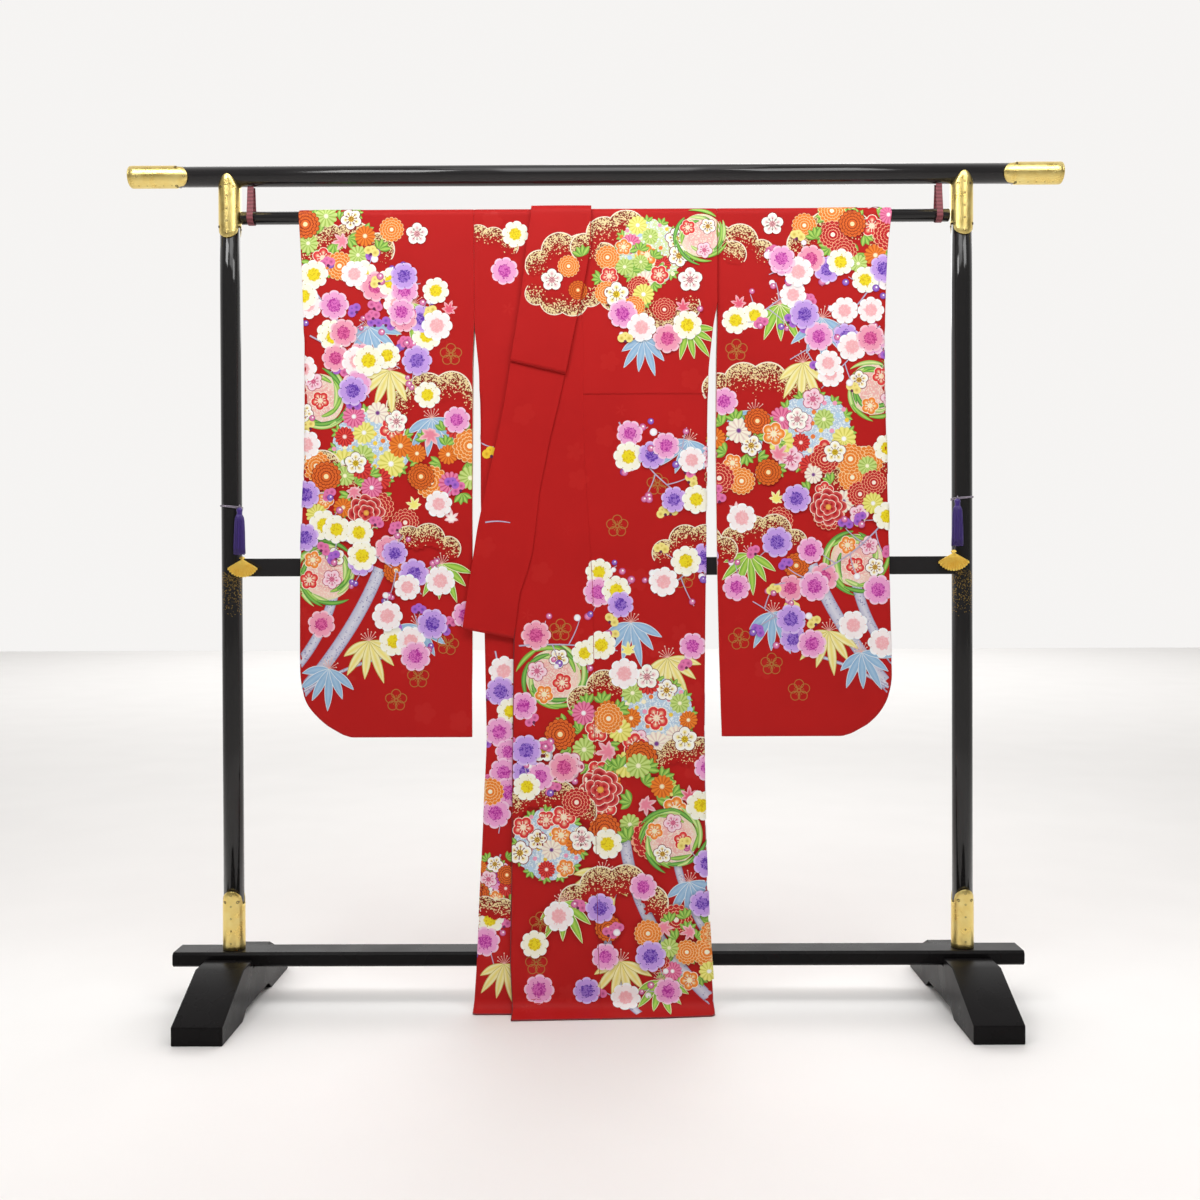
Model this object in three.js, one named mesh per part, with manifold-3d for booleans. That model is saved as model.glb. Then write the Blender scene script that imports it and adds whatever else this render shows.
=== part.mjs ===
// A furisode kimono hung over the rod of a black lacquered kimono stand.
// Millimetres, +Z up. X runs to the right for someone who faces the stand, and the front looks along -Y.
// The origin lies on the floor, midway between the two posts. Garment pieces are named for the wearer:
// the wearer's right side hangs at -X.

import * as THREE from 'three';
import { mergeVertices } from 'three/addons/utils/BufferGeometryUtils.js';
import Module from 'manifold-3d';

// ---------------------------------------------------------------- driving dimensions

const GAP = 0.3; // between pieces that touch
const MERGE = 1e-4; // points nearer than this are one

const BEAM = { radius: 19.5, z: 1613, halfLength: 898, sides: 20 };
const CAP = { radius: 21.3, length: 118, end: 4, halfSpan: 905, lobe: 27 };
const POST = { x: 711, radius: 19.5, sides: 20 };
const UPPER_SLEEVE = { radius: 21.4, bottom: 1490, lobe: 27, top: 1613, shoulder: 1594, sharpness: 3 };
const LOWER_SLEEVE = { radius: 21.4, shoulder: 197, tip: 225 };
const BASE_BEAM = { halfLength: 822, bottom: 81, top: 109, halfDepth: 31, chamfer: 5 };
const FOOT = { width: 92, reach: 222, top: 96, flat: 90, toe: 34, archReach: 100, archHeight: 16, pad: 24 };
const MID_RAIL = { z: 853, height: 35, depth: 18 };
const ROD = { radius: 12.5, z: 1532.5, left: -689, right: 686, sides: 20 };
const STRAP = { width: 12, wall: 1.4, clearance: 0.5, topSpread: 6, facets: 10, x: [-669, 665.5] };

const WALL = 1.3; // a lined silk panel: shell and lining together
const TUCK_WALL = 1.1; // the same cloth inside the pleat at the centre back
const ROD_CLEARANCE = 0.85;
const SHOULDER_RADIUS = ROD.radius + ROD_CLEARANCE + WALL / 2;
const LAYER = 2.2; // from one layer of cloth to the next
const EASE = 0.2; // added where two layers are free of each other
const UNDERARM = 1170; // the side seams are sewn shut below this height
const ARMHOLE = 1320; // the sleeves are sewn to the body above this height
const CUFF = 1314; // the sleeve's outer edge is sewn shut below this height
const ARC_STEPS = 8; // facets over the rod
// Cells in a row across each panel.
const ACROSS = { sleeve: 9, bodyRight: 8, bodyLeft: 9, okumiUpper: 5, okumiUnder: 4, collar: 4 };
const SPREAD = 1470; // below this height the layers hang their full distance apart

/** Rows of numbers with named columns. */
function table(names, rows) {
  const keys = names.split(' ');
  return rows.map((row) => Object.fromEntries(keys.map((key, i) => [key, row[i]])));
}

/** Reads a column at height z, straight between rows that are sorted from the top down. */
function at(rows, column, z) {
  const next = rows.findIndex((row) => row.z <= z);
  if (next === 0) return rows[0][column];
  if (next < 0) return rows[rows.length - 1][column];
  const [above, below] = [rows[next - 1], rows[next]];
  return below[column] + ((above[column] - below[column]) * (z - below.z)) / (above.z - below.z);
}

// How far the hanging cloth stands from the plane of the posts. The rearmost layer passes in front of
// the mid rail and the base beam; front is the hidden right front.
const HANG = table('z back front', [
  [ROD.z, SHOULDER_RADIUS, -SHOULDER_RADIUS],
  [SPREAD, 11.5, -14.4],
  [870, -11, -18.6],
  [830, -11, -18.6],
  [115, -33.3, -40.9],
  [20, -34, -41.6],
]);

// Soft vertical folds that run through every layer: each pushes the cloth forward.
const FOLDS = table('x lean top bottom width depth', [
  [-500, 0.02, 1500, 560, 50, 3.4],
  [-400, -0.03, 1460, 640, 46, 2.4],
  [-300, 0.01, 1500, 600, 50, 3.0],
  [-190, 0.02, 1380, 120, 50, 2.6],
  [38, 0.02, 1420, 130, 56, 3.0],
  [140, -0.01, 1460, 90, 54, 3.4],
  [300, 0.02, 1500, 620, 50, 3.0],
  [402, -0.02, 1450, 600, 46, 2.4],
  [500, 0.01, 1500, 560, 50, 3.4],
]);
const FOLD_FADE = 140; // the height over which a fold starts and dies away

// Outlines: height, then the X of each edge.
const SLEEVE_RIGHT = table('z outer inner', [
  [ROD.z, -574, -235.15],
  [1428, -568, -235.15],
  [ARMHOLE, -565, -235.15],
  [1250, -565, -238],
  [1058, -565, -239],
  [962, -570, -240],
  [811, -575, -240],
  [658, -576, -241],
  [627, -574, -242],
  [588, -565, -242],
  [554, -536, -242],
  [531, -503, -242],
  [523, -478, -242],
]);
const SLEEVE_LEFT = table('z outer inner', [
  [ROD.z, 572, 235.15],
  [1466, 564, 235.15],
  [1389, 560, 235.15],
  [ARMHOLE, 558, 235.15],
  [1250, 558, 233],
  [1078, 562, 231],
  [848, 566, 233],
  [695, 570, 236],
  [627, 571, 238],
  [588, 561, 239],
  [554, 537, 240],
  [531, 503, 241],
  [523, 476, 241],
]);
const SLEEVE_HANG = table('z back front', [
  [ROD.z, SHOULDER_RADIUS, -SHOULDER_RADIUS],
  [1200, 1.4, -16],
  [870, -11, -17.6],
  [523, -11.5, -16.6],
]);
const SLEEVE_LEVELS = [523, 531, 554, 588, 627, 730, 870, 1000, 1130, 1250, CUFF, 1400, 1480, ROD.z];

const BODY_LEVELS = [
  115, 250, 400, 560, 714, 830, 870, 1000, 1100, UNDERARM, 1250, ARMHOLE, 1367, 1420, SPREAD, ROD.z,
];
const BODY_SIDE = table('z right left', [
  [1358, -234.85, 234.85],
  [ARMHOLE, -234.85, 227],
  [1232, -226, 217],
  [1136, -224, 215],
  [981, -224, 212],
  [848, -220, 211],
  [728, -217, 209],
  [518, -213, 206],
  [342, -221, 207],
  [169, -229, 212],
  [73, -234, 218],
  [0, -239, 222],
]);
// The long slanted edges of the fronts, and the seams where the overlap panels are sewn on.
const FRONT_EDGE = table('z rightFront leftFront rightBack leftBack', [
  [ROD.z, -18, -14, -18, -14],
  [SPREAD, -18, -14, -18, -14],
  [1367, 0, -30, 72, -3],
  [1300, 0, -25, 72, -3],
  [1080, 0, -24, 72, -3],
  [800, 0, -7, 72, -3],
  [400, 0, -4, 72, -3],
  [115, 0, 1, 72, -3],
  [0, 0, 6, 72, -3],
]);
const OVERLAP_EDGE = table('z upper under', [
  [1357, -33.5, 3.5],
  [1300, -49, 17],
  [1232, -62, 31],
  [1136, -84, 50],
  [1043, -109, 69],
  [859, -130, 108],
  [803, -152, 122],
  [714, -160, 144],
  [519, -162, 147],
  [246, -165, 149],
  [94, -168, 150],
  [0, -163, 150],
]);

// Cloth that reaches the floor: forward distance and height of the wall's middle, from the hem up.
const FLOOR_RIGHT_BACK = table('y z', [[-52, 1.15], [-46, 1.15], [-38.5, 4.5], [-34.3, 14]]);
const FLOOR_LEFT_BACK = table('y z', [[-52, 5.5], [-47.5, 5.6], [-42, 8.5], [-38.7, 15]]);
const FLOOR_UNDER_FRONT = table('y z', [[-66, 1.4], [-56, 7.2], [-49, 9.8], [-43.6, 16]]);
const FLOOR_UPPER_FRONT = table('y z', [[-64, 9.4], [-52, 16]]);
const UPPER_HEM_Z = { edge: 1.3, halfway: 4.6 };
const UPPER_HEM = table('x y', [[-170, -100], [120, -87], [225, -76]]);

// The collar is one strip. Over the front it lies open; it crosses the rod, turns up at the back of
// the neck and runs down again, hidden, along the right front.
const COLLAR = table('z left right', [
  [ROD.z, -123, -9],
  [SPREAD, -132, -10],
  [1362, -145, -30],
  [1300, -155, -44],
  [1236, -166, -57],
  [1136, -182, -79],
  [1045, -204, -104],
  [930, -229, -117],
  [859, -240, -127],
  [803, -249, -148],
]);
const COLLAR_END = { leftX: -259, leftZ: 733, rightX: -160, rightZ: 714 };
const COLLAR_HIDDEN = table('z left right', [
  [ROD.z, -125, -20],
  [SPREAD, -118, -20],
  [1362, -96, 0],
  [1136, -52, 46],
  [930, -8, 88],
  [714, 36, 140],
]);
const COLLAR_CORNER = 803; // height where the collar's lower end starts to slant
const COLLAR_BACK_DROP = 1464; // height of the fold at the back of the neck
const COLLAR_RADIUS = { hidden: SHOULDER_RADIUS + 2, open: SHOULDER_RADIUS + 4.4 };
const OVER_COLLAR = { leftZ: 1248, rightZ: 1223, overhang: 1, lift: 0.9, clear: 9 };

// The pleat at the centre back: its root and turn beside the fold, and how far it stops short of the seam.
const PLEAT = { root: 7, turn: 1.4, seamShort: 4, top: 1420, footForward: 0.4, footUp: 0.2 };

const TASSEL = {
  length: 92, skirtTop: -16, rootRadius: 4.68, flare: 12, strands: 26, strandRadius: 1.5, sides: 12,
};
const TASSEL_HEAD = table('radius z', [[0, -20], [6.5, -19], [5.2, -10], [6.5, -5], [3, -0.5], [0, 0]]);
const FAN = { radius: 35, halfAngle: 60, ribs: 13, wall: 1.2, pleat: 1.3, hub: 4 };
const CORD = { radius: 1.1, hoop: 21.4, sides: 6, facets: 20, slope: -0.12, seat: 1.65 };
const ORNAMENTS = table('name x y postX tasselZ fanX fanZ fanTurn', [
  ['minus_x', -688, -26, -POST.x, 969, -683, 868, 0],
  ['plus_x', 694, -28, POST.x, 981, 687, 876, -24],
]);

const COLOURS = {
  silk: { color: 0xb51f24, roughness: 0.55, metalness: 0 },
  lacquer: { color: 0x121012, roughness: 0.18, metalness: 0 },
  gold: { color: 0xd9b65c, roughness: 0.35, metalness: 0.9 },
  ribbon: { color: 0x7a2f35, roughness: 0.6, metalness: 0 },
  tassel: { color: 0x3b2a80, roughness: 0.6, metalness: 0 },
  cord: { color: 0xb8b2a8, roughness: 0.6, metalness: 0 },
};

// ---------------------------------------------------------------- geometry helpers

const wasm = await Module();
wasm.setup();

/** A closed geometry from points and faces of three or four corners. */
function geometryOf(points, faces) {
  const geometry = new THREE.BufferGeometry();
  geometry.setAttribute('position', new THREE.Float32BufferAttribute(points.flatMap((p) => p.toArray()), 3));
  geometry.setIndex(faces.flatMap(([a, b, c, d]) => (d === undefined ? [a, b, c] : [a, b, c, a, c, d])));
  return geometry;
}

/** The same shape as a solid that can be joined and cut. */
function solidOf(geometry) {
  const bare = geometry.clone();
  bare.deleteAttribute('normal');
  bare.deleteAttribute('uv');
  const merged = mergeVertices(bare, MERGE);
  return new wasm.Manifold(new wasm.Mesh({
    numProp: 3,
    vertProperties: new Float32Array(merged.attributes.position.array),
    triVerts: new Uint32Array(merged.index.array),
  }));
}

/** A geometry from a joined or cut solid. */
function geometryFrom(solid) {
  const { vertProperties, triVerts } = solid.getMesh();
  const geometry = new THREE.BufferGeometry();
  geometry.setAttribute('position', new THREE.BufferAttribute(vertProperties, 3));
  geometry.setIndex(new THREE.BufferAttribute(triVerts, 1));
  return geometry;
}

function cylinderAlongX(radius, left, right, sides) {
  const geometry = new THREE.CylinderGeometry(radius, radius, right - left, sides);
  return geometry.rotateZ(-Math.PI / 2).translate((left + right) / 2, 0, 0);
}

function cylinderAlongZ(radius, bottom, top, sides) {
  const geometry = new THREE.CylinderGeometry(radius, radius, top - bottom, sides);
  return geometry.rotateX(Math.PI / 2).translate(0, 0, (bottom + top) / 2);
}

/** An outline in the YZ plane, extruded along X and centred there. */
function extrudeAlongX(outline, width) {
  const geometry = new THREE.ExtrudeGeometry(new THREE.Shape(outline), { depth: width, bevelEnabled: false });
  const turn = new THREE.Matrix4().makeBasis(
    new THREE.Vector3(0, 1, 0), new THREE.Vector3(0, 0, 1), new THREE.Vector3(1, 0, 0));
  return geometry.translate(0, 0, -width / 2).applyMatrix4(turn);
}

/** The direction that a grid of points faces at each point: across the row, crossed with up the column. */
function gridNormals(grid) {
  return grid.map((row, i) => row.map((_, j) => {
    const across = row[Math.min(j + 1, row.length - 1)].clone().sub(row[Math.max(j - 1, 0)]);
    const along = grid[Math.min(i + 1, grid.length - 1)][j].clone().sub(grid[Math.max(i - 1, 0)][j]);
    return across.cross(along).normalize();
  }));
}

/**
 * A wall of cloth about a grid of middle points. Rows run from the front hem up over the rod and down
 * the back, and each row runs towards +X. shutRows is how many rows at each end are sewn together
 * along one side ('low' or 'high' X), and shutBottom sews the first row to the last.
 */
function clothWall(grid, wall, { shutSide = null, shutRows = 0, shutBottom = false } = {}) {
  const [n, m] = [grid.length, grid[0].length];
  const normals = gridNormals(grid);
  const offset = (reach) => grid.map((row, i) => (
    row.map((p, j) => p.clone().addScaledVector(normals[i][j], reach))));
  const outer = offset(wall / 2);
  const inner = offset(-wall / 2);
  const edge = shutSide === 'high' ? m - 1 : 0;
  const inward = shutSide === 'high' ? -1 : 1;
  insetShutSide(grid, inner, { edge, inward, shutRows, wall });
  if (shutBottom) insetShutBottom(inner, { edge, wall });

  const points = [...outer.flat(), ...inner.flat()];
  const out = (i, j) => i * m + j;
  const inn = (i, j) => n * m + i * m + j;
  const faces = [];
  for (let i = 0; i < n - 1; i += 1) {
    for (let j = 0; j < m - 1; j += 1) {
      faces.push([out(i, j), out(i, j + 1), out(i + 1, j + 1), out(i + 1, j)]);
      faces.push([inn(i, j), inn(i + 1, j), inn(i + 1, j + 1), inn(i, j + 1)]);
    }
  }
  const isShut = (i) => i + 1 < shutRows || i >= n - shutRows;
  const addFace = (side, corners) => faces.push(side === 'low' ? corners : [...corners].reverse());
  for (const [side, j] of [['low', 0], ['high', m - 1]]) {
    for (let i = 0; i < n - 1; i += 1) {
      if (side === shutSide && isShut(i)) continue;
      addFace(side, [out(i, j), out(i + 1, j), inn(i + 1, j), inn(i, j)]);
    }
    if (side !== shutSide) {
      if (shutBottom) addFace(side, [out(0, j), inn(0, j), inn(n - 1, j), out(n - 1, j)]);
      continue;
    }
    for (let i = 0; i + 1 < shutRows; i += 1) {
      const k = n - 1 - i;
      addFace(side, [out(i, j), out(i + 1, j), out(k - 1, j), out(k, j)]);
      addFace(side, [inn(i, j), inn(k, j), inn(k - 1, j), inn(i + 1, j)]);
    }
    const top = shutRows - 1;
    addFace(side, [out(top, j), inn(top, j), inn(n - 1 - top, j), out(n - 1 - top, j)]);
    if (!shutBottom) addFace(side, [out(n - 1, j), inn(n - 1, j), inn(0, j), out(0, j)]);
  }
  for (let j = 0; j < m - 1; j += 1) {
    if (shutBottom) {
      faces.push([out(0, j), out(n - 1, j), out(n - 1, j + 1), out(0, j + 1)]);
      faces.push([inn(0, j), inn(0, j + 1), inn(n - 1, j + 1), inn(n - 1, j)]);
    } else {
      faces.push([out(0, j), inn(0, j), inn(0, j + 1), out(0, j + 1)]);
      faces.push([out(n - 1, j), out(n - 1, j + 1), inn(n - 1, j + 1), inn(n - 1, j)]);
    }
  }
  return geometryOf(points, faces);
}

/** Moves the inner points along a sewn side into the hollow, so that the seam has the wall's thickness. */
function insetShutSide(grid, inner, { edge, inward, shutRows, wall }) {
  const n = grid.length;
  for (let i = 0; i < shutRows; i += 1) {
    for (const row of [i, n - 1 - i]) {
      const step = row < n / 2 ? 1 : -1;
      const below = i === 0 ? grid[row][edge + inward] : grid[row - step][edge];
      const above = grid[row + step][edge];
      const run = new THREE.Vector2(above.x - below.x, above.z - below.z).normalize();
      inner[row][edge].x += inward * wall * Math.abs(run.y);
      inner[row][edge].z += wall * Math.abs(run.x) * (i === 0 ? 1 : Math.sign(-inward * run.x) * -1);
    }
  }
}

/** Lifts the inner points of a sewn bottom edge by the wall's thickness. */
function insetShutBottom(inner, { edge, wall }) {
  for (const row of [inner[0], inner[inner.length - 1]]) {
    row.forEach((point, j) => {
      if (j !== edge) point.z += wall;
    });
  }
}

/** How far the folds push the cloth forward at a place. */
function foldDepth(x, z) {
  let depth = 0;
  for (const fold of FOLDS) {
    const middle = (fold.top + fold.bottom) / 2;
    const across = (x - fold.x - fold.lean * (z - middle)) / fold.width;
    const start = THREE.MathUtils.smoothstep(z, fold.bottom, fold.bottom + FOLD_FADE);
    const end = 1 - THREE.MathUtils.smoothstep(z, fold.top - FOLD_FADE, fold.top);
    depth += fold.depth * Math.exp(-across * across) * start * end;
  }
  return depth;
}

/** One row of middle points from xLow to xHigh, evenly spaced and moved forward by the folds. */
function clothRow(xLow, xHigh, steps, y, z) {
  return Array.from({ length: steps + 1 }, (_, j) => {
    const x = xLow + ((xHigh - xLow) * j) / steps;
    const forward = typeof y === 'function' ? y(x) : y;
    return new THREE.Vector3(x, forward - foldDepth(x, z), z);
  });
}

/** The facets over the rod between the front and the back, without the two at the rod's own height. */
function rodArc(radius) {
  return Array.from({ length: ARC_STEPS - 1 }, (_, i) => {
    const angle = (Math.PI * (i + 1)) / ARC_STEPS;
    return { y: -radius * Math.cos(angle), z: ROD.z + radius * Math.sin(angle) };
  });
}

// ---------------------------------------------------------------- kimono

/** How much of their distance apart the layers have: none at the rod, all of it from SPREAD down. */
function spreadShare(z) {
  return THREE.MathUtils.clamp((ROD.z - z) / (ROD.z - SPREAD), 0, 1);
}

/** How far a layer stands in front of the hidden right front: nothing on the rod, all of it below. */
function frontY(z, layers) {
  return at(HANG, 'front', z) - layers * spreadShare(z);
}

function sleeve(outline, side) {
  const isRight = side === 'right';
  const row = (y, z) => {
    const edges = [at(outline, 'outer', z), at(outline, 'inner', z)];
    return clothRow(Math.min(...edges), Math.max(...edges), ACROSS.sleeve, y, z);
  };
  const front = SLEEVE_LEVELS.map((z) => row(at(SLEEVE_HANG, 'front', z), z));
  const over = rodArc(SHOULDER_RADIUS).map(({ y, z }) => row(y, z));
  const back = SLEEVE_LEVELS.map((z) => row(at(SLEEVE_HANG, 'back', z), z)).reverse();
  return clothWall([...front, ...over, ...back], WALL, {
    shutSide: isRight ? 'low' : 'high',
    shutRows: SLEEVE_LEVELS.indexOf(CUFF) + 1,
    shutBottom: true,
  });
}

/** The forward place of the upper front's hem, which trails further at the overlap than at the side. */
function upperHemY(x) {
  const next = Math.max(1, UPPER_HEM.findIndex((row) => row.x >= x));
  const [a, b] = [UPPER_HEM[next - 1], UPPER_HEM[next]];
  return a.y + ((b.y - a.y) * (x - a.x)) / (b.x - a.x);
}

/** The rows of the upper front from its hem to where it hangs free. */
function upperFloorRows() {
  const halfway = (x) => (upperHemY(x) + FLOOR_UPPER_FRONT[0].y) / 2;
  const { edge, halfway: trail } = UPPER_HEM_Z;
  return [{ y: upperHemY, z: edge }, { y: halfway, z: trail }, ...FLOOR_UPPER_FRONT];
}

const UPPER_LAYERS = 2 * LAYER + EASE;

function bodyRight() {
  const steps = ACROSS.bodyRight;
  const side = (z) => at(BODY_SIDE, 'right', z);
  const frontRow = ({ y, z }) => clothRow(side(z), at(FRONT_EDGE, 'rightFront', z), steps, y, z);
  const backRow = ({ y, z }) => clothRow(side(z), at(FRONT_EDGE, 'rightBack', z), steps, y, z);
  const front = [...FLOOR_UNDER_FRONT, ...BODY_LEVELS.map((z) => ({ y: frontY(z, 0), z }))];
  const back = [...FLOOR_RIGHT_BACK, ...BODY_LEVELS.map((z) => ({ y: at(HANG, 'back', z), z }))];
  const over = rodArc(SHOULDER_RADIUS);
  return clothWall([...front.map(frontRow), ...over.map(frontRow), ...back.reverse().map(backRow)], WALL, {
    shutSide: 'low',
    shutRows: FLOOR_RIGHT_BACK.length + BODY_LEVELS.indexOf(UNDERARM) + 1,
  });
}

/** The left back hangs inside the right back, with room for the pleat between them. */
function leftBackY(z) {
  return at(HANG, 'back', z) - 2 * LAYER * spreadShare(z);
}

function bodyLeft() {
  const steps = ACROSS.bodyLeft;
  const side = (z) => at(BODY_SIDE, 'left', z);
  const frontRow = ({ y, z }) => clothRow(at(FRONT_EDGE, 'leftFront', z), side(z), steps, y, z);
  const backRow = ({ y, z }) => clothRow(at(FRONT_EDGE, 'leftBack', z), side(z), steps, y, z);
  const front = [...upperFloorRows(), ...BODY_LEVELS.map((z) => ({ y: frontY(z, UPPER_LAYERS), z }))];
  const back = [...FLOOR_LEFT_BACK, ...BODY_LEVELS.map((z) => ({ y: leftBackY(z), z }))];
  const over = rodArc(SHOULDER_RADIUS);
  const rows = [...front.map(frontRow), ...over.map(frontRow), ...back.reverse().map(backRow)];
  const panel = clothWall(rows, WALL, {
    shutSide: 'high',
    shutRows: FLOOR_LEFT_BACK.length + BODY_LEVELS.indexOf(UNDERARM) + 1,
  });
  return geometryFrom(solidOf(panel).add(solidOf(backPleat())));
}

/** The left back turned under at its inner edge, back to the centre seam behind the right back's edge. */
function backPleat() {
  const { root, turn, seamShort, top, footForward, footUp } = PLEAT;
  const rows = BODY_LEVELS.filter((z) => z <= top).map((z) => ({ y: at(HANG, 'back', z), z })).reverse();
  const lowest = FLOOR_RIGHT_BACK.at(-1);
  rows.push({ y: lowest.y + footForward, z: lowest.z + footUp });
  return clothWall(rows.map(({ y, z }) => {
    const fold = at(FRONT_EDGE, 'leftBack', z);
    const seam = at(FRONT_EDGE, 'rightBack', z) - seamShort;
    const section = [
      [fold + root, 2 * LAYER],
      [fold, 2 * LAYER],
      [fold - turn, 1.5 * LAYER],
      [fold, LAYER],
      [(fold + seam) / 2, LAYER],
      [seam, LAYER],
    ];
    return section.map(([x, forward]) => new THREE.Vector3(x, y - forward - foldDepth(x, z), z));
  }), TUCK_WALL);
}

/** The overlap panel of the upper front, from the hem to its point under the collar. */
function okumiUpper() {
  const tip = OVERLAP_EDGE[0].z;
  const rows = [
    ...upperFloorRows(),
    ...BODY_LEVELS.filter((z) => z < tip).map((z) => ({ y: frontY(z, UPPER_LAYERS), z })),
    { y: frontY(tip, UPPER_LAYERS), z: tip },
  ];
  return clothWall(rows.map(({ y, z }) => {
    const seam = at(FRONT_EDGE, 'leftFront', z) - GAP;
    return clothRow(at(OVERLAP_EDGE, 'upper', z), seam, ACROSS.okumiUpper, y, z);
  }), WALL);
}

/** The overlap panel of the hidden right front. */
function okumiUnder() {
  const tip = OVERLAP_EDGE[0].z;
  const rows = [
    ...FLOOR_UNDER_FRONT,
    ...BODY_LEVELS.filter((z) => z < tip).map((z) => ({ y: frontY(z, 0), z })),
    { y: frontY(tip, 0), z: tip },
  ];
  return clothWall(rows.map(({ y, z }) => {
    const seam = at(FRONT_EDGE, 'rightFront', z) + GAP;
    return clothRow(seam, at(OVERLAP_EDGE, 'under', z), ACROSS.okumiUnder, y, z);
  }), WALL);
}

const COLLAR_LAYERS = UPPER_LAYERS + LAYER + EASE;

/** The forward place of the open collar, which leaves the rod one layer further out. */
function collarY(z, extra = 0) {
  const onRod = COLLAR_RADIUS.open - SHOULDER_RADIUS;
  return at(HANG, 'front', z) - onRod - (COLLAR_LAYERS - onRod) * spreadShare(z) - extra;
}

/** A slanted row between two edge points, on the layer that layerY gives. */
function slantedRow(left, right, steps, layerY) {
  return Array.from({ length: steps + 1 }, (_, j) => {
    const x = left.x + ((right.x - left.x) * j) / steps;
    const z = left.z + ((right.z - left.z) * j) / steps;
    return new THREE.Vector3(x, layerY(z) - foldDepth(x, z), z);
  });
}

function collar() {
  const steps = ACROSS.collar;
  const { leftX, leftZ, rightX, rightZ } = COLLAR_END;
  const end = slantedRow({ x: leftX, z: leftZ }, { x: rightX, z: rightZ }, steps, collarY);
  const levelsFrom = (lowest) => BODY_LEVELS.filter((z) => z >= lowest);
  const rowAt = (rows, y, z) => clothRow(at(rows, 'left', z), at(rows, 'right', z), steps, y, z);
  const open = [COLLAR_CORNER, ...levelsFrom(COLLAR_CORNER)].map((z) => rowAt(COLLAR, collarY(z), z));
  const top = COLLAR[0];
  const overOpen = rodArc(COLLAR_RADIUS.open).map(({ y, z }) => clothRow(top.left, top.right, steps, y, z));
  const outerY = (z) => at(HANG, 'back', z) + COLLAR_RADIUS.open - SHOULDER_RADIUS;
  const innerY = (z) => at(HANG, 'back', z) + COLLAR_RADIUS.hidden - SHOULDER_RADIUS;
  const hiddenTop = COLLAR_HIDDEN[0];
  const turn = (outerY(COLLAR_BACK_DROP) - innerY(COLLAR_BACK_DROP)) / 2;
  const neck = [
    clothRow(top.left, top.right, steps, outerY(ROD.z), ROD.z),
    clothRow(top.left, top.right, steps, outerY(COLLAR_BACK_DROP), COLLAR_BACK_DROP),
    clothRow(top.left, top.right, steps, outerY(COLLAR_BACK_DROP) - turn, COLLAR_BACK_DROP - turn),
    clothRow(hiddenTop.left, hiddenTop.right, steps, innerY(COLLAR_BACK_DROP), COLLAR_BACK_DROP),
    clothRow(hiddenTop.left, hiddenTop.right, steps, innerY(ROD.z), ROD.z),
  ];
  const overHidden = rodArc(COLLAR_RADIUS.hidden)
    .map(({ y, z }) => clothRow(hiddenTop.left, hiddenTop.right, steps, y, z)).reverse();
  const hiddenY = (z) => at(HANG, 'front', z) - (COLLAR_RADIUS.hidden - SHOULDER_RADIUS);
  const hidden = levelsFrom(COLLAR_HIDDEN.at(-1).z).reverse().map((z) => rowAt(COLLAR_HIDDEN, hiddenY(z), z));
  return clothWall([end, ...open, ...overOpen, ...neck, ...overHidden, ...hidden], WALL);
}

/** The short second collar that guards the neck, made from the collar's own rows moved out one layer. */
function overCollar() {
  const steps = ACROSS.collar;
  const { leftZ, rightZ, overhang, lift, clear } = OVER_COLLAR;
  const edge = (column, z) => at(COLLAR, column, z) + (column === 'left' ? -overhang : overhang);
  const hem = slantedRow({ x: edge('left', leftZ), z: leftZ }, { x: edge('right', rightZ), z: rightZ }, steps,
    (z) => collarY(z, LAYER + lift));
  const front = BODY_LEVELS.filter((z) => z > leftZ + clear).map((z) => (
    clothRow(edge('left', z), edge('right', z), steps, collarY(z, LAYER), z)));
  const radius = COLLAR_RADIUS.open + LAYER;
  const [left, right] = [edge('left', ROD.z), edge('right', ROD.z)];
  const over = rodArc(radius).map(({ y, z }) => clothRow(left, right, steps, y, z));
  const backY = (z) => at(HANG, 'back', z) + radius - SHOULDER_RADIUS;
  const back = [ROD.z, COLLAR_BACK_DROP].map((z) => clothRow(left, right, steps, backY(z), z));
  return clothWall([hem, ...front, ...over, ...back], WALL);
}

// ---------------------------------------------------------------- stand

/** Rounded tongues at the front and back of a metal fitting: 1 at their tips, 0 at the sides between. */
function tongue(angle) {
  return Math.abs(Math.sin(angle));
}

/** A tube about the Z axis whose edges follow bottomAt(angle) and topAt(angle). */
function fittedTube({ inner, outer, bottomAt, topAt, sides }) {
  const ring = (radius, heightAt) => Array.from({ length: sides }, (_, i) => {
    const angle = (2 * Math.PI * (i + 0.5)) / sides;
    return new THREE.Vector3(radius * Math.cos(angle), radius * Math.sin(angle), heightAt(angle));
  });
  const rings = [ring(outer, bottomAt), ring(outer, topAt), ring(inner, topAt), ring(inner, bottomAt)];
  const faces = [];
  rings.forEach((_, r) => {
    const next = (r + 1) % rings.length;
    for (let i = 0; i < sides; i += 1) {
      const j = (i + 1) % sides;
      faces.push([r * sides + i, r * sides + j, next * sides + j, next * sides + i]);
    }
  });
  return geometryOf(rings.flat(), faces);
}

/** Turns a cylinder's facets so that they match those of fittedTube. */
function turnHalfFacet(geometry, sides) {
  return geometry.rotateZ(Math.PI / sides);
}

function topBeam() {
  return cylinderAlongX(BEAM.radius, -BEAM.halfLength, BEAM.halfLength, BEAM.sides).translate(0, 0, BEAM.z);
}

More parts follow.
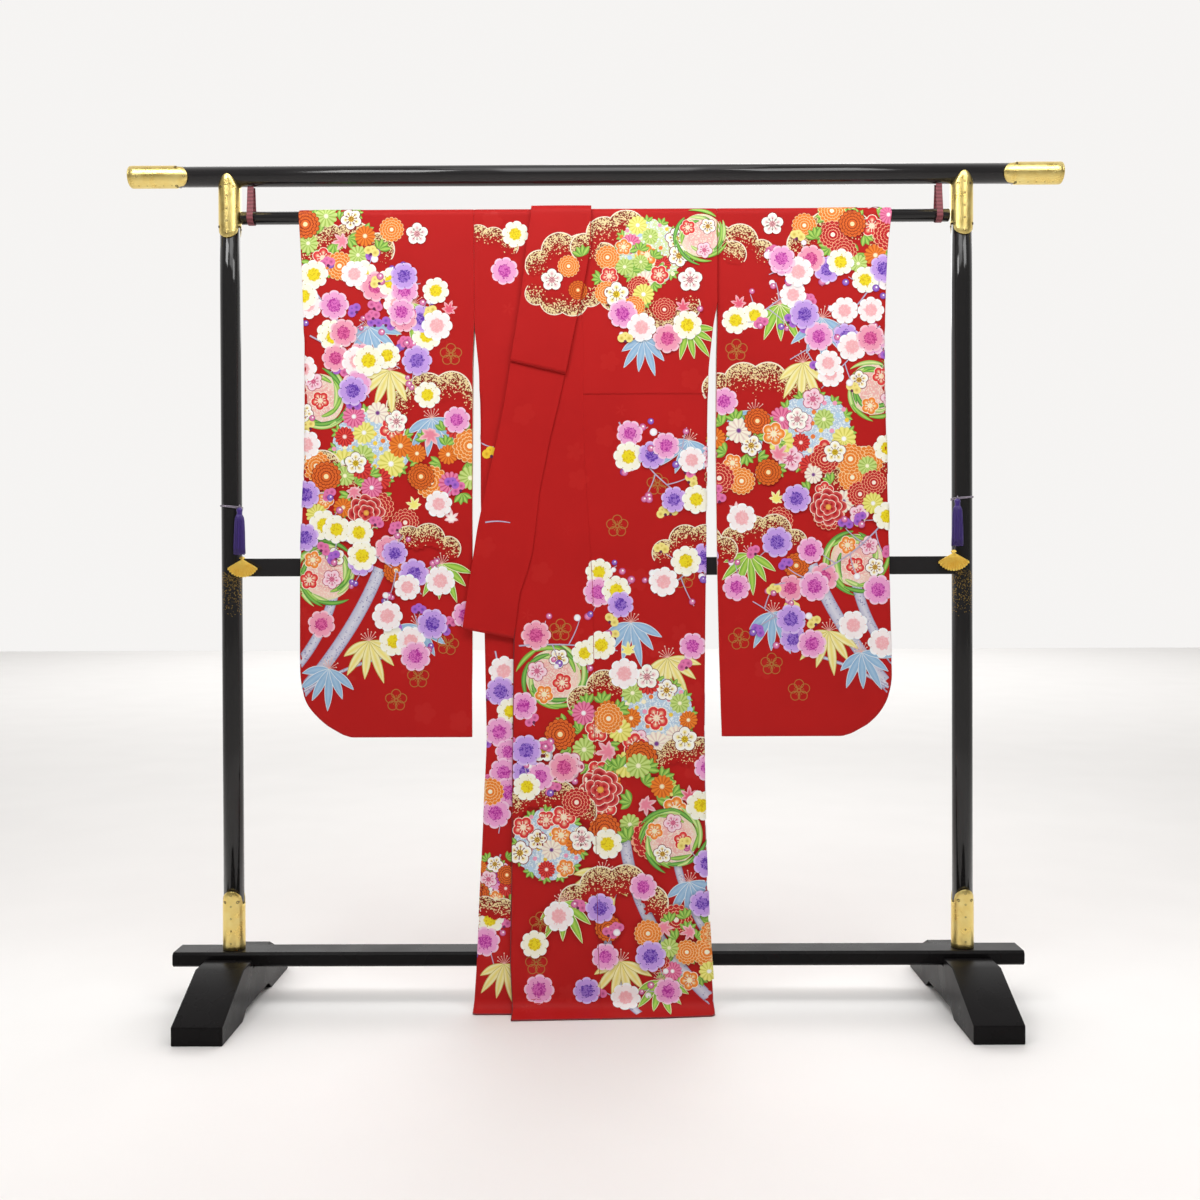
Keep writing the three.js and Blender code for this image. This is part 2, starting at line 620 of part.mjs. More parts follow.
/** A gold cup over the beam's end, drawn along +Z and turned to point along X. */
function beamCap(sign) {
  const tube = fittedTube({
    inner: BEAM.radius + GAP,
    outer: CAP.radius,
    bottomAt: (angle) => CAP.lobe * (1 - tongue(angle)),
    topAt: () => CAP.length - CAP.end / 2,
    sides: BEAM.sides,
  });
  const disc = cylinderAlongZ(CAP.radius, CAP.length - CAP.end, CAP.length, BEAM.sides);
  const end = turnHalfFacet(disc, BEAM.sides);
  const cup = geometryFrom(solidOf(tube).add(solidOf(end)));
  return cup.rotateZ(Math.PI / BEAM.sides).rotateY((sign * Math.PI) / 2)
    .translate(sign * (CAP.halfSpan - CAP.length), 0, BEAM.z);
}

/** The beam's bar with a gap round it, used to shape what meets it. */
function beamCutter() {
  return solidOf(cylinderAlongX(BEAM.radius + GAP, -BEAM.halfLength, BEAM.halfLength, BEAM.sides)
    .translate(0, 0, BEAM.z));
}

function post(x) {
  const bar = turnHalfFacet(cylinderAlongZ(POST.radius, BASE_BEAM.top + GAP, BEAM.z, POST.sides), POST.sides)
    .translate(x, 0, 0);
  return geometryFrom(solidOf(bar).subtract(beamCutter()));
}

/** A gold sleeve round the post's top, with a tongue up the beam's front and back. */
function upperSleeve(x) {
  const { radius, bottom, lobe, top, shoulder, sharpness } = UPPER_SLEEVE;
  const tube = fittedTube({
    inner: POST.radius + GAP,
    outer: radius,
    bottomAt: (angle) => bottom + lobe * (1 - tongue(angle)),
    topAt: (angle) => shoulder + (top - shoulder) * tongue(angle) ** sharpness,
    sides: POST.sides,
  });
  return geometryFrom(solidOf(tube.translate(x, 0, 0)).subtract(beamCutter()));
}

function lowerSleeve(x) {
  const rise = LOWER_SLEEVE.tip - LOWER_SLEEVE.shoulder;
  return fittedTube({
    inner: POST.radius + GAP,
    outer: LOWER_SLEEVE.radius,
    bottomAt: () => BASE_BEAM.top + GAP,
    topAt: (angle) => LOWER_SLEEVE.shoulder + rise * tongue(angle),
    sides: POST.sides,
  }).translate(x, 0, 0);
}

function midRail() {
  const rail = new THREE.BoxGeometry(2 * POST.x, MID_RAIL.depth, MID_RAIL.height).translate(0, 0, MID_RAIL.z);
  const cutPost = (x) => solidOf(
    turnHalfFacet(cylinderAlongZ(POST.radius + GAP, 0, BEAM.z, POST.sides), POST.sides).translate(x, 0, 0));
  return geometryFrom(solidOf(rail).subtract(cutPost(-POST.x)).subtract(cutPost(POST.x)));
}

function baseBeam() {
  const { halfLength, bottom, top, halfDepth, chamfer } = BASE_BEAM;
  const corners = [
    [-halfLength, bottom], [halfLength, bottom], [halfLength, top - chamfer], [halfLength - chamfer, top],
    [-halfLength + chamfer, top], [-halfLength, top - chamfer],
  ].map(([x, z]) => new THREE.Vector2(x, z));
  const depth = 2 * halfDepth;
  return new THREE.ExtrudeGeometry(new THREE.Shape(corners), { depth, bevelEnabled: false })
    .translate(0, 0, -halfDepth).rotateX(Math.PI / 2);
}

/** A runner foot: flat middle, sloping toes and an arched underside, notched for the base beam. */
function foot(x) {
  const { reach, top, flat, toe, archReach, archHeight, pad } = FOOT;
  const outline = [
    [-reach, 0], [-archReach, 0], [-archReach + pad, archHeight], [archReach - pad, archHeight], [archReach, 0],
    [reach, 0], [reach, toe], [flat, top], [-flat, top], [-reach, toe],
  ].map(([y, z]) => new THREE.Vector2(y, z));
  const block = extrudeAlongX(outline, FOOT.width).translate(x, 0, 0);
  const { bottom, halfDepth } = BASE_BEAM;
  const notch = new THREE.BoxGeometry(2 * FOOT.width, 2 * (halfDepth + GAP), 2 * (top - bottom + GAP))
    .translate(x, 0, top);
  return geometryFrom(solidOf(block).subtract(solidOf(notch)));
}

function rod() {
  return cylinderAlongX(ROD.radius, ROD.left, ROD.right, ROD.sides).translate(0, 0, ROD.z);
}

/** A ribbon that hangs from the beam's underside and carries the rod in its loop. */
function strap(x) {
  const { wall, clearance, topSpread, facets } = STRAP;
  const inner = ROD.radius + clearance;
  const outer = inner + wall;
  const topOf = (y) => BEAM.z - Math.sqrt((BEAM.radius + 2 * GAP) ** 2 - y * y);
  const bend = (radius, from, to) => Array.from({ length: facets + 1 }, (_, i) => {
    const angle = from + ((to - from) * i) / facets;
    return new THREE.Vector2(radius * Math.cos(angle), ROD.z + radius * Math.sin(angle));
  });
  const outline = [
    new THREE.Vector2(-topSpread - wall, topOf(topSpread + wall)),
    ...bend(outer, Math.PI, 2 * Math.PI),
    new THREE.Vector2(topSpread + wall, topOf(topSpread + wall)),
    new THREE.Vector2(topSpread, topOf(topSpread)),
    ...bend(inner, 2 * Math.PI, Math.PI),
    new THREE.Vector2(-topSpread, topOf(topSpread)),
  ];
  return extrudeAlongX(outline, STRAP.width).translate(x, 0, 0);
}

// ---------------------------------------------------------------- ornaments tied to the posts

/** A three-sided strand that hangs from root down to tip. */
function strand(root, tip, radius) {
  const ring = (middle) => [0, 1, 2].map((k) => {
    const angle = (2 * Math.PI * k) / 3;
    return middle.clone().add(new THREE.Vector3(radius * Math.cos(angle), radius * Math.sin(angle), 0));
  });
  const sides = [[0, 3, 4, 1], [1, 4, 5, 2], [2, 5, 3, 0]];
  return geometryOf([...ring(root), ...ring(tip)], [[0, 1, 2], [5, 4, 3], ...sides]);
}

/** A bound head and its skirt of strands, all hanging from the point (0, 0, 0). */
function tassel() {
  const { length, skirtTop, rootRadius, flare, strands, strandRadius, sides } = TASSEL;
  const profile = TASSEL_HEAD.map(({ radius, z }) => new THREE.Vector2(radius, z));
  const head = new THREE.LatheGeometry(profile, sides).rotateX(Math.PI / 2);
  const golden = Math.PI * (3 - Math.sqrt(5));
  let solid = solidOf(head);
  for (let i = 0; i < strands; i += 1) {
    const share = Math.sqrt((i + 0.5) / strands);
    const outward = new THREE.Vector3(share * Math.cos(i * golden), share * Math.sin(i * golden), 0);
    const root = outward.clone().multiplyScalar(rootRadius).setZ(skirtTop);
    const tip = outward.clone().multiplyScalar(flare).setZ(-length);
    solid = solid.add(solidOf(strand(root, tip, strandRadius)));
  }
  return geometryFrom(solid);
}

/** An open folding fan, spread downwards from its pivot at (0, 0, 0), in the XZ plane. */
function fan() {
  const { radius, halfAngle, ribs, wall, pleat, hub } = FAN;
  const limit = THREE.MathUtils.degToRad(halfAngle);
  const rows = [radius, radius / 2, hub].map((r) => (
    Array.from({ length: 2 * ribs + 1 }, (_, i) => {
      const angle = -limit + (limit * i) / ribs;
      const out = ((i % 2 ? 1 : -1) * pleat * r) / radius / 2;
      return new THREE.Vector3(r * Math.sin(angle), out, -r * Math.cos(angle));
    })));
  return clothWall(rows, wall);
}

/** The cord that hangs a tassel: a sloping hoop round the post and a short drop to the tassel's head. */
function tasselCord({ x, y, postX, tasselZ }) {
  const { radius, hoop, sides, slope, facets, seat } = CORD;
  const tilt = slope * Math.sign(postX);
  const hoopZ = tasselZ + radius;
  const ring = new THREE.TorusGeometry(hoop, radius, sides, facets).rotateY(tilt).translate(postX, 0, hoopZ);
  const grip = new THREE.Vector3(x - postX, y, 0).setLength(hoop);
  grip.z = -grip.x * Math.sin(tilt);
  grip.add(new THREE.Vector3(postX, 0, hoopZ));
  const head = new THREE.Vector3(x, y, tasselZ + GAP + seat);
  const section = new THREE.Path().absarc(0, 0, radius, 0, 2 * Math.PI).getPoints(sides / 2);
  const drop = new THREE.ExtrudeGeometry(new THREE.Shape(section), {
    steps: 1, bevelEnabled: false, extrudePath: new THREE.LineCurve3(grip, head),
  });
  return geometryFrom(solidOf(ring).add(solidOf(drop)));
}

// ---------------------------------------------------------------- the object

const materials = Object.fromEntries(
  Object.entries(COLOURS).map(([name, values]) => [name, () => new THREE.MeshStandardMaterial(values)]));

function piece(name, geometry, finish) {
  const mesh = new THREE.Mesh(geometry, materials[finish]());
  mesh.name = name;
  return mesh;
}

const kimono = new THREE.Group();
kimono.name = 'kimono';
kimono.add(
  piece('sleeve_right', sleeve(SLEEVE_RIGHT, 'right'), 'silk'),
  piece('sleeve_left', sleeve(SLEEVE_LEFT, 'left'), 'silk'),
  piece('body_right', bodyRight(), 'silk'),
  piece('body_left', bodyLeft(), 'silk'),
  piece('okumi_upper', okumiUpper(), 'silk'),
  piece('okumi_under', okumiUnder(), 'silk'),
  piece('collar', collar(), 'silk'),
  piece('over_collar', overCollar(), 'silk'),
);

const stand = new THREE.Group();
stand.name = 'stand';
stand.add(
  piece('top_beam', topBeam(), 'lacquer'),
  piece('mid_rail', midRail(), 'lacquer'),
  piece('base_beam', baseBeam(), 'lacquer'),
  piece('rod', rod(), 'lacquer'),
);
for (const [side, sign] of [['minus_x', -1], ['plus_x', 1]]) {
  stand.add(
    piece(`post_${side}`, post(sign * POST.x), 'lacquer'),
    piece(`foot_${side}`, foot(sign * POST.x), 'lacquer'),
    piece(`beam_cap_${side}`, beamCap(sign), 'gold'),
    piece(`upper_sleeve_${side}`, upperSleeve(sign * POST.x), 'gold'),
    piece(`lower_sleeve_${side}`, lowerSleeve(sign * POST.x), 'gold'),
    piece(`strap_${side}`, strap(STRAP.x[sign < 0 ? 0 : 1]), 'ribbon'),
  );
}

const ornaments = new THREE.Group();
ornaments.name = 'ornaments';
for (const spot of ORNAMENTS) {
  const tasselMesh = piece(`tassel_${spot.name}`, tassel(), 'tassel');
  tasselMesh.position.set(spot.x, spot.y, spot.tasselZ);
  const fanMesh = piece(`fan_${spot.name}`, fan(), 'gold');
  fanMesh.position.set(spot.fanX, spot.y, spot.fanZ);
  fanMesh.rotation.z = THREE.MathUtils.degToRad(spot.fanTurn);
  ornaments.add(tasselMesh, fanMesh, piece(`cord_${spot.name}`, tasselCord(spot), 'cord'));
}

const furisode = new THREE.Group();
furisode.name = 'furisode_on_stand';
furisode.add(kimono, stand, ornaments);

export default furisode;
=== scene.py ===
"""Looks of a furisode kimono on its lacquered stand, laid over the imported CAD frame.

Sizes in the tables are millimetres; meshes are made in metres. The garment's tables repeat the CAD's.
"""

import math

import bmesh
import bpy
import numpy as np
from mathutils import Matrix, Vector


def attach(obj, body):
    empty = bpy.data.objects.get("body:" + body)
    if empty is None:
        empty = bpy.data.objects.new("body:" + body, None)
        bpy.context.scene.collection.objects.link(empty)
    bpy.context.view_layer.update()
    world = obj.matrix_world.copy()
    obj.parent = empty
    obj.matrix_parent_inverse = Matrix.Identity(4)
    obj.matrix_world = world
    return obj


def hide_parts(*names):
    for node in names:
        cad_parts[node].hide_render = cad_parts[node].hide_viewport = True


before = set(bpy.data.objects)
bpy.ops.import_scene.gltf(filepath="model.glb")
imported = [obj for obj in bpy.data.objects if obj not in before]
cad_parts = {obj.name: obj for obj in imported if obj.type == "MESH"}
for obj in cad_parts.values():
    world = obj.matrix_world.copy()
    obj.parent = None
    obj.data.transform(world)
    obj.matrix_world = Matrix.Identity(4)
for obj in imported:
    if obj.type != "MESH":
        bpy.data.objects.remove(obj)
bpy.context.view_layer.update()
MM = 0.001

# ---------------------------------------------------------------- camera, floor and lights

CAMERA_AT = Vector((0.014, -2.350, 0.807))
CAMERA_AIM = Vector((-4 / 1206, 1.0, -10 / 1206))
CAMERA_ROLL = math.radians(0.2)
FOCAL_LENGTH = 36.18


def set_camera():
    """Looks along CAMERA_AIM, rolled clockwise by CAMERA_ROLL."""
    data = bpy.data.cameras.new("camera")
    data.lens = FOCAL_LENGTH
    data.sensor_width = 36.0
    data.clip_start, data.clip_end = 0.05, 60.0
    camera = bpy.data.objects.new("camera", data)
    forward = CAMERA_AIM.normalized()
    right = forward.cross(Vector((0, 0, 1))).normalized()
    up = right.cross(forward)
    rolled_right = right * math.cos(CAMERA_ROLL) - up * math.sin(CAMERA_ROLL)
    rolled_up = rolled_right.cross(forward)
    turn = Matrix((rolled_right, rolled_up, -forward)).transposed()
    camera.matrix_world = Matrix.Translation(CAMERA_AT) @ turn.to_4x4()
    bpy.context.scene.collection.objects.link(camera)
    bpy.context.scene.camera = camera


def linear(code):
    """An sRGB hex colour as linear light: c / 12.92 up to 0.04045, else ((c + 0.055) / 1.055) ** 2.4."""
    value = int(code.lstrip("#"), 16)
    c = np.array([(value >> shift & 255) / 255 for shift in (16, 8, 0)])
    return np.where(c <= 0.04045, c / 12.92, ((c + 0.055) / 1.055) ** 2.4)


def rgba(code):
    return (*linear(code), 1.0)


def add_node(tree, kind, inputs=None, **properties):
    """Adds a shader node, sets its properties, and sets or links each input. A node given as an input is
    linked by the first of its outputs that is in use."""
    node = tree.nodes.new("ShaderNode" + kind)
    for key, value in properties.items():
        setattr(node, key, value)
    for key, value in (inputs or {}).items():
        if isinstance(value, bpy.types.Node):
            value = next(socket for socket in value.outputs if socket.enabled)
        if isinstance(value, bpy.types.NodeSocket):
            tree.links.new(value, node.inputs[key])
        else:
            node.inputs[key].default_value = value
    return node


def new_material(name, surface):
    """A material whose Principled shader takes the inputs that surface(tree) returns."""
    material = bpy.data.materials.new(name)
    material.use_nodes = True
    tree = material.node_tree
    tree.nodes.clear()
    shader = add_node(tree, "BsdfPrincipled", surface(tree))
    add_node(tree, "OutputMaterial", {"Surface": shader.outputs["BSDF"]})
    return material


def new_object(name, mesh, *materials):
    for material in materials:
        mesh.materials.append(material)
    piece = bpy.data.objects.new(name, mesh)
    bpy.context.scene.collection.objects.link(piece)
    return piece


def new_mesh(name, points, faces, smooth=True):
    """A mesh from points in millimetres and a list of index arrays, one row for each face."""
    mesh = bpy.data.meshes.new(name)
    faces = [np.asarray(f, int) for f in faces if len(f)]
    corners = np.concatenate([f.ravel() for f in faces])
    sizes = np.concatenate([np.full(len(f), f.shape[1]) for f in faces])
    mesh.vertices.add(len(points))
    mesh.vertices.foreach_set("co", (np.asarray(points) * MM).astype(np.float32).ravel())
    mesh.loops.add(len(corners))
    mesh.loops.foreach_set("vertex_index", corners.astype(np.int32))
    mesh.polygons.add(len(sizes))
    mesh.polygons.foreach_set("loop_start", (np.cumsum(sizes) - sizes).astype(np.int32))
    mesh.polygons.foreach_set("use_smooth", np.full(len(sizes), smooth))
    mesh.update(calc_edges=True)
    mesh.validate()
    return mesh


def set_floor_and_lights():
    """A plain pale floor, a white room that is brighter behind the stand, and soft lamps, most of their
    light from above in front, so that the cloth darkens downwards."""
    half = 14000.0
    corners = [[-half, -half, 0], [half, -half, 0], [half, half, 0], [-half, half, 0]]

    def painted_floor(tree):
        # Matt paint: an even pale tone with the faintest cloudiness.
        place = add_node(tree, "TexCoord").outputs["Object"]
        cloud = add_node(tree, "TexNoise", {"Vector": place, "Scale": 3.0, "Detail": 2.0})
        tone = add_node(tree, "Mix", {0: cloud, 6: rgba("#f2f0ee"), 7: rgba("#f8f6f4")}, data_type="RGBA")
        return {"Base Color": tone, "Roughness": 0.6}

    floor = new_mesh("floor", corners, [[[0, 1, 2, 3]]])
    new_object("floor", floor, new_material("painted floor", painted_floor))
    world = bpy.data.worlds.new("studio")
    world.use_nodes = True
    tree = world.node_tree
    towards = add_node(tree, "SeparateXYZ", {0: add_node(tree, "TexCoord").outputs["Generated"]})
    level = add_node(tree, "MapRange", {0: towards.outputs["Y"], 1: -0.35, 2: 0.35, 3: 0.21, 4: 0.92})
    tree.links.new(level.outputs[0], tree.nodes["Background"].inputs["Strength"])
    tree.nodes["Background"].inputs["Color"].default_value = (1.0, 0.985, 0.97, 1)
    bpy.context.scene.world = world
    lamps = [
        # name, place, aimed at, size, watts
        ("front_left", (-1.2, -1.2, 2.6), (-0.2, 0, 1.5), 0.7, 15),
        ("front_right", (1.2, -1.25, 2.55), (0.2, 0, 1.5), 0.8, 13),
        ("top", (0, -1.0, 2.6), (0, 0, 1.5), 1.0, 9),
        ("behind", (0.6, 2.4, 2.6), (0, 0, 1.3), 1.6, 14),
        ("floor_fill", (0, -1.6, 4.2), (0, -0.9, 0), 2.5, 28),
        ("ceiling", (0, 11.0, 5.0), (0, 11.0, 0), 13.0, 480),
    ]
    for name, place, target, size, watts in lamps:
        data = bpy.data.lights.new(name, "AREA")
        data.energy, data.size = watts, size
        lamp = bpy.data.objects.new(name, data)
        lamp.location = place
        lamp.rotation_euler = (Vector(target) - Vector(place)).to_track_quat("-Z", "Y").to_euler()
        bpy.context.scene.collection.objects.link(lamp)
    bpy.context.scene.view_settings.view_transform = "Standard"


set_camera()
set_floor_and_lights()

# ---------------------------------------------------------------- mesh arithmetic


def grid_faces(rows, columns, wrap=False):
    """Quads of a grid of rows x columns points; wrap joins the last column to the first."""
    i = np.arange(rows - 1)[:, None]
    j = np.arange(columns if wrap else columns - 1)[None, :]
    k = (j + 1) % columns
    quads = [i * columns + j, i * columns + k, (i + 1) * columns + k, (i + 1) * columns + j]
    return np.stack(quads, -1).reshape(-1, 4)


def grid_normals(grid):
    """For each grid point, the direction across its row crossed with the direction up its column."""
    across, up = np.gradient(grid, axis=1), np.gradient(grid, axis=0)
    normal = np.cross(across, up)
    return normal / np.maximum(np.linalg.norm(normal, axis=-1, keepdims=True), 1e-9)


def turned(profile, sides, axis="z", at=(0, 0, 0)):
    """A turned solid: rows of profile are (place on the axis, radius), and each ring is
    radius * (cos a, sin a) square to the axis. Both ends are closed by one face."""
    place, radius = np.asarray(profile, float).T
    angle = np.arange(sides) * 2 * np.pi / sides
    first = radius[:, None] * np.cos(angle)
    second = radius[:, None] * np.sin(angle)
    along_axis = np.repeat(place[:, None], sides, 1)
    order = [along_axis, first, second] if axis == "x" else [first, second, along_axis]
    points = np.stack(order, -1).reshape(-1, 3) + np.asarray(at, float)
    ring = np.arange(sides)
    last = (len(place) - 1) * sides
    return points, [grid_faces(len(place), sides, wrap=True), ring[None, ::-1], ring[None, :] + last]


def prism(outline, low, high, axis):
    """A solid that carries a closed outline from low to high along the axis (x or y)."""
    a, b = np.asarray(outline, float).T
    n = len(a)
    ends = []
    for place in (low, high):
        flat = np.full(n, float(place))
        ends.append(np.stack([flat, a, b] if axis == "x" else [a, flat, b], -1))
    i = np.arange(n)
    k = (i + 1) % n
    return np.concatenate(ends), [np.stack([i, k, k + n, i + n], -1), i[None, ::-1], i[None, :] + n]


def pipe(path, radius, sides=10, up=(0, 0, 1), closed=False):
    """A pipe: each ring is path + radius * (cos a * side + sin a * rise), side being tangent x up."""
    path = np.asarray(path, float)
    if closed:
        tangent = np.roll(path, -1, 0) - np.roll(path, 1, 0)
    else:
        tangent = np.gradient(path, axis=0)
    tangent /= np.linalg.norm(tangent, axis=1, keepdims=True)
    side = np.cross(tangent, np.asarray(up, float))
    side /= np.linalg.norm(side, axis=1, keepdims=True)
    rise = np.cross(side, tangent)
    angle = np.arange(sides) * 2 * np.pi / sides
    radius = np.broadcast_to(np.asarray(radius, float), (len(path),))[:, None, None]
    c, s = np.cos(angle)[None, :, None], np.sin(angle)[None, :, None]
    ring = radius * (c * side[:, None] + s * rise[:, None])
    points = (path[:, None] + ring).reshape(-1, 3)
    j = np.arange(sides)
    if closed:
        points = np.concatenate([points, points[:sides]])
        return points, [grid_faces(len(path) + 1, sides, wrap=True)[:, ::-1]]
    last = (len(path) - 1) * sides
    return points, [grid_faces(len(path), sides, wrap=True)[:, ::-1], j[None, :], j[None, ::-1] + last]


def joined(parts):
    """Several (points, faces) put into one."""
    points, faces, start = [], [], 0
    for part_points, part_faces in parts:
        points.append(part_points)
        faces += [np.asarray(f) + start for f in part_faces]
        start += len(part_points)
    return np.concatenate(points), faces


def smoothstep(low, high, value):
    t = np.clip((value - low) / (high - low), 0, 1)
    return t * t * (3 - 2 * t)


def weld(mesh, distance):
    """Joins points that lie within distance (in millimetres)."""
    work = bmesh.new()
    work.from_mesh(mesh)
    bmesh.ops.remove_doubles(work, verts=work.verts, dist=distance * MM)
    work.to_mesh(mesh)
    work.free()


def set_uv(mesh, name, uv):
    """A UV map from one place for each point."""
    corners = np.empty(len(mesh.loops), np.int32)
    mesh.loops.foreach_get("vertex_index", corners)
    layer = mesh.uv_layers.new(name=name)
    layer.uv.foreach_set("vector", uv[corners].astype(np.float32).ravel())


def keep(piece, slot, *nodes):
    """Fixes a finished piece to the one body, in the place of its CAD nodes."""
    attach(piece, "root")
    if nodes:
        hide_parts(*nodes)
    return piece


# ---------------------------------------------------------------- the garment's sizes


def table(names, *rows):
    """Rows of numbers with named columns, sorted by the first column."""
    return dict(zip(names.split(), np.array(sorted(rows), float).T))


def at_height(rows, column, z):
    """A column at height z, straight between rows."""
    return np.interp(z, rows["z"], rows[column])


def along(rows, column, where, soften=14.0):
    """Straight between rows, averaged over a window of +-soften that shrinks at the table's ends."""
    keys = next(iter(rows.values()))
    where = np.clip(where, keys[0], keys[-1])
    reach = np.minimum(soften, np.minimum(where - keys[0], keys[-1] - where))
    shifts = np.linspace(-1, 1, 7)
    return sum(np.interp(where + reach * k, keys, rows[column]) for k in shifts) / len(shifts)


ROD_Z, ROD_RADIUS, SHOULDER = 1532.5, 12.5, 14.0
ARC = math.pi * SHOULDER
OVER = ROD_Z + ARC  # where the cloth leaves the rod at the back, measured along the cloth
WALL = 1.2
LAYER, UPPER_LAYERS, COLLAR_LAYERS = 2.2, 4.6, 7.0
SPREAD, UNDERARM, CUFF = 1470.0, 1170.0, 1314.0

HANG = table("z back front", (ROD_Z, 14, -14), (SPREAD, 11.5, -14.4), (870, -11, -18.6), (830, -11, -18.6),
             (115, -33.3, -40.9), (20, -34, -41.6))
SLEEVE_HANG = table(
    "z back front", (ROD_Z, 14, -14), (1200, 1.4, -16), (870, -11, -17.6), (523, -11.5, -16.6))
FOLD_FADE = 140.0
FOLDS = [
    # x, lean, top, bottom, width, depth
    (-500, 0.02, 1500, 560, 50, 3.4),
    (-400, -0.03, 1460, 640, 46, 2.4),
    (-300, 0.01, 1500, 600, 50, 3.0),
    (-190, 0.02, 1380, 120, 50, 2.6),
    (38, 0.02, 1420, 130, 56, 3.0),
    (140, -0.01, 1460, 90, 54, 3.4),
    (300, 0.02, 1500, 620, 50, 3.0),
    (402, -0.02, 1450, 600, 46, 2.4),
    (500, 0.01, 1500, 560, 50, 3.4),
]
SLEEVE_RIGHT = table(
    "z outer inner", (ROD_Z, -574, -235.15), (1428, -568, -235.15), (1320, -565, -235.15), (1250, -565, -238),
    (1058, -565, -239), (962, -570, -240), (811, -575, -240), (658, -576, -241), (627, -574, -242),
    (588, -565, -242), (554, -536, -242), (531, -503, -242), (523, -478, -242))
SLEEVE_LEFT = table(
    "z outer inner", (ROD_Z, 572, 235.15), (1466, 564, 235.15), (1389, 560, 235.15), (1320, 558, 235.15),
    (1250, 558, 233), (1078, 562, 231), (848, 566, 233), (695, 570, 236), (627, 571, 238), (588, 561, 239),
    (554, 537, 240), (531, 503, 241), (523, 476, 241))
BODY_SIDE = table(
    "z right left", (1358, -234.85, 234.85), (1320, -234.85, 227), (1232, -226, 217), (1136, -224, 215),
    (981, -224, 212), (848, -220, 211), (728, -217, 209), (518, -213, 206), (342, -221, 207),
    (169, -229, 212), (73, -234, 218), (0, -239, 222))
FRONT_EDGE = table(
    "z right_front left_front right_back left_back", (ROD_Z, -18, -14, -18, -14), (1470, -18, -14, -18, -14),
    (1367, 0, -30, 72, -3), (1300, 0, -25, 72, -3), (1080, 0, -24, 72, -3), (800, 0, -7, 72, -3),
    (400, 0, -4, 72, -3), (115, 0, 1, 72, -3), (0, 0, 6, 72, -3))
OVERLAP_EDGE = table(
    "z upper under", (1357, -33.5, 3.5), (1300, -49, 17), (1232, -62, 31), (1136, -84, 50), (1043, -109, 69),
    (859, -130, 108), (803, -152, 122), (714, -160, 144), (519, -162, 147), (246, -165, 149), (94, -168, 150),
    (0, -163, 150))
UPPER_HEM = table("x y", (-170, -100), (120, -87), (225, -76))
HEM_MIDDLE = -90.0  # the upper front's hem before UPPER_HEM slants it
FLOOR_TOP = 115.0
FLOOR_RIGHT_BACK = [(-52, 1.15), (-46, 1.15), (-38.5, 4.5), (-34.3, 14)]
FLOOR_LEFT_BACK = [(-52, 5.5), (-47.5, 5.6), (-42, 8.5), (-38.7, 15)]
FLOOR_UNDER_FRONT = [(-66, 1.4), (-56, 7.2), (-49, 9.8), (-43.6, 16)]
FLOOR_UPPER_FRONT = [(HEM_MIDDLE, 1.3), ((HEM_MIDDLE - 64) / 2, 4.6), (-64, 9.4), (-52, 16)]
TUCK_Z = 1184.0  # the sewn tuck across the left front
COLLAR = table(
    "z left right", (ROD_Z, -123, -9), (1470, -132, -10), (1362, -145, -30), (1300, -155, -44),
    (1236, -166, -57), (1136, -182, -79), (1045, -204, -104), (930, -229, -117), (859, -240, -127),
    (803, -249, -148))
COLLAR_CORNER = 803.0  # height where the collar's lower end starts to slant
COLLAR_LEVELS = [COLLAR_CORNER, 830, 870, 930, 1000, 1100, 1170, 1250, 1320, 1367, 1420, 1470, ROD_Z]
COLLAR_END = (-259, 733, -160, 714)  # left x and z, right x and z
COLLAR_HIDDEN = table(
    "z left right", (ROD_Z, -125, -20), (1470, -118, -20), (1362, -96, 0), (1136, -52, 46), (930, -8, 88),
    (714, 36, 140))
COLLAR_BACK_DROP = 1464.0
COLLAR_HIDDEN_RADIUS, COLLAR_RADIUS, OVER_COLLAR_RADIUS = 16.0, 18.4, 20.6
# The over-collar's lower edge at the left and the right, the height where its slant ends, and how far
# that edge stands away.
OVER_COLLAR_LEFT, OVER_COLLAR_RIGHT, OVER_COLLAR_SQUARE, OVER_COLLAR_LIFT = 1248.0, 1223.0, 1320.0, 0.9

